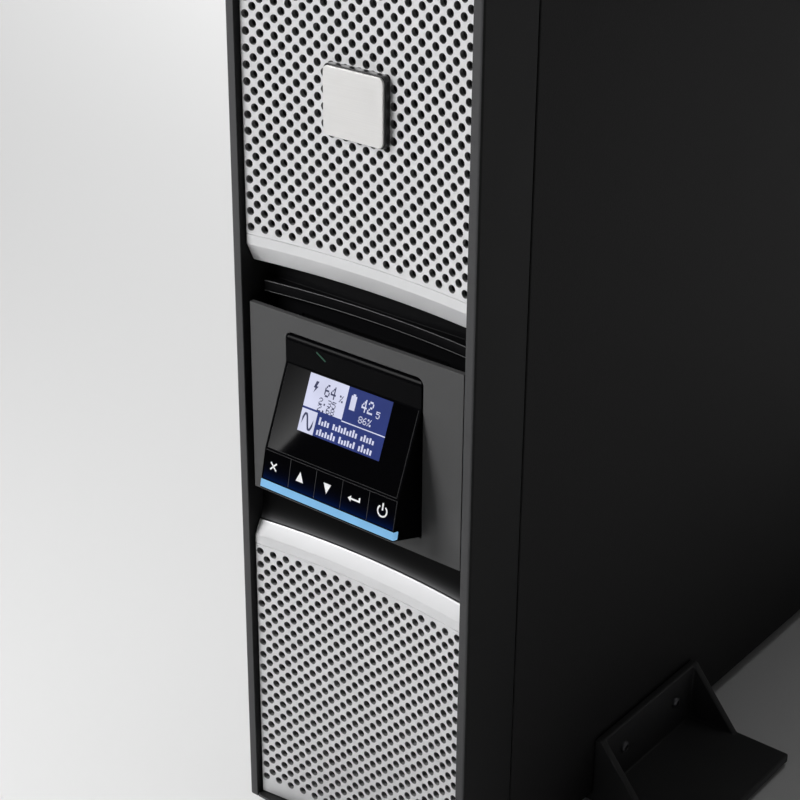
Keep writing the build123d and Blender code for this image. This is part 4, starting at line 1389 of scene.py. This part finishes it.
# The terminal cover: a deep sheet steel box over the input terminals, with three knock-outs for conduit
# left in place and a screw sunk into each corner.
COUNTERBORE = 0.0042
BORE_DEEP = 0.0032
SUNK_SCREW = {"radius": 0.003444, "tall": 0.0024}
BORE_INSET = 0.0075
KNOCKOUTS = ((-0.034, 0.0105), (0.0, 0.0135), (0.034, 0.0105))
KNOCK_GROOVE = 0.0009
KNOCK_DEEP = 0.0005
KNOCK_WALL = 0.0004
KNOCK_ROUND = 0.0003
BOX_EDGE = 0.0008
box = bmesh.new()
place, outline, back, front = behind("terminal_cover")
half_wide, half_tall = outline[2]
bores = [(x * (half_wide - BORE_INSET), y * (half_tall - BORE_INSET)) for x in (-1, 1) for y in (-1, 1)]
pockets = [(shifted(circle_outline(COUNTERBORE, SCREW_STEPS), x, y), BORE_DEEP) for x, y in bores]
pockets += [(shifted(circle_outline(radius), x, 0), KNOCK_DEEP) for x, radius in KNOCKOUTS]
add_housing(box, place, round_rectangle(half_wide, half_tall, COVER_ROUND), back, front, BOX_EDGE, pockets)
for x, radius in KNOCKOUTS:
    blank = circle_outline(radius - KNOCK_GROOVE)
    disc = place @ Matrix.Translation((x, 0, front - KNOCK_DEEP))
    add_loft(box, disc, (blank, 0), (blank, KNOCK_WALL), (shrunk(blank, KNOCK_ROUND), KNOCK_DEEP))
finished("terminal_cover_box", box, cover_coat, "cover_paint", "terminal_cover")
sunk = [place @ Matrix.Translation((x, y, front - BORE_DEEP)) for x, y in bores]
screwed("terminal_screws", "cover_paint", sunk, **SUNK_SCREW)

# The stands: two pairs of moulded feet that clasp the case's foot, each half with an upright and two
# gussets, on four soft rubber pads. Screws through the uprights and along the case's sides hold them.
STAND_ROUND = 0.0010
STAND_WALL_OUT = 0.0043
STAND_SCREW_UP = 0.025
STAND_SCREW_SPREAD = 0.024
SIDE_SCREW_BACK = 0.007
SIDE_SCREWS = (60, 180, 300, 425)
SIDE_SCREW_TALL = 0.0012
PAD_RADIUS = 0.009
PAD_EDGE = 0.0004
PAD_BORE = 0.0034
PAD_BORE_DEEP = 0.0014
stand_black = grained("stand_black", (0.022, 0.022, 0.023), 0.0007, 0.25, 0.5, 0.12, 0.00004)
pad_rubber = grained("pad_rubber", (0.015, 0.015, 0.016), 0.0006, 0.3, 0.8, 0.1, 0.00006)


def on_side(side, y, z, x):
    """A place on the left (-1) or right (1) of the unit as a matrix, Z out of it."""
    turn = Matrix(((0, side, 0), (0, 0, 1), (side, 0, 0))).transposed().to_4x4()
    return Matrix.Translation((side * x, y, z)) @ turn


panel_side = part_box("right_side_panel")[1].x
places = []
for side in (-1, 1):
    places += [on_side(side, rear_face - SIDE_SCREW_BACK, z * MM, panel_side) for z in SIDE_SCREWS]
screwed("side_screws", "case_paint", places, tall=SIDE_SCREW_TALL)
places = []
for node in ("front_stand_left", "front_stand_right", "rear_stand_left", "rear_stand_right"):
    rounded(node, STAND_ROUND, stand_black, "stand_plastic", segments=3)
    low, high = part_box(node)
    side = 1 if high.x > panel_side else -1
    for spread in (-STAND_SCREW_SPREAD, STAND_SCREW_SPREAD):
        y = (low.y + high.y) / 2 + spread
        places.append(on_side(side, y, STAND_SCREW_UP, panel_side + STAND_WALL_OUT))
screwed("stand_screws", "stand_plastic", places)
for end in ("front", "rear"):
    low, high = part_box(end + "_pads")
    pads = bmesh.new()
    for x in (low.x + PAD_RADIUS, high.x - PAD_RADIUS):
        for y in (low.y + PAD_RADIUS, high.y - PAD_RADIUS):
            under = Matrix.Translation((x, y, high.z)) @ Matrix.Rotation(math.pi, 4, "X")
            bore = [(circle_outline(PAD_BORE, SCREW_STEPS), PAD_BORE_DEEP)]
            add_housing(pads, under, circle_outline(PAD_RADIUS), 0.0, high.z - low.z, PAD_EDGE, bore)
    finished(end + "_pads_moulded", pads, pad_rubber, "pad_rubber", end + "_pads")

# The finished scene's size is measured over everything it shows but the backdrop.
low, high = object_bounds()
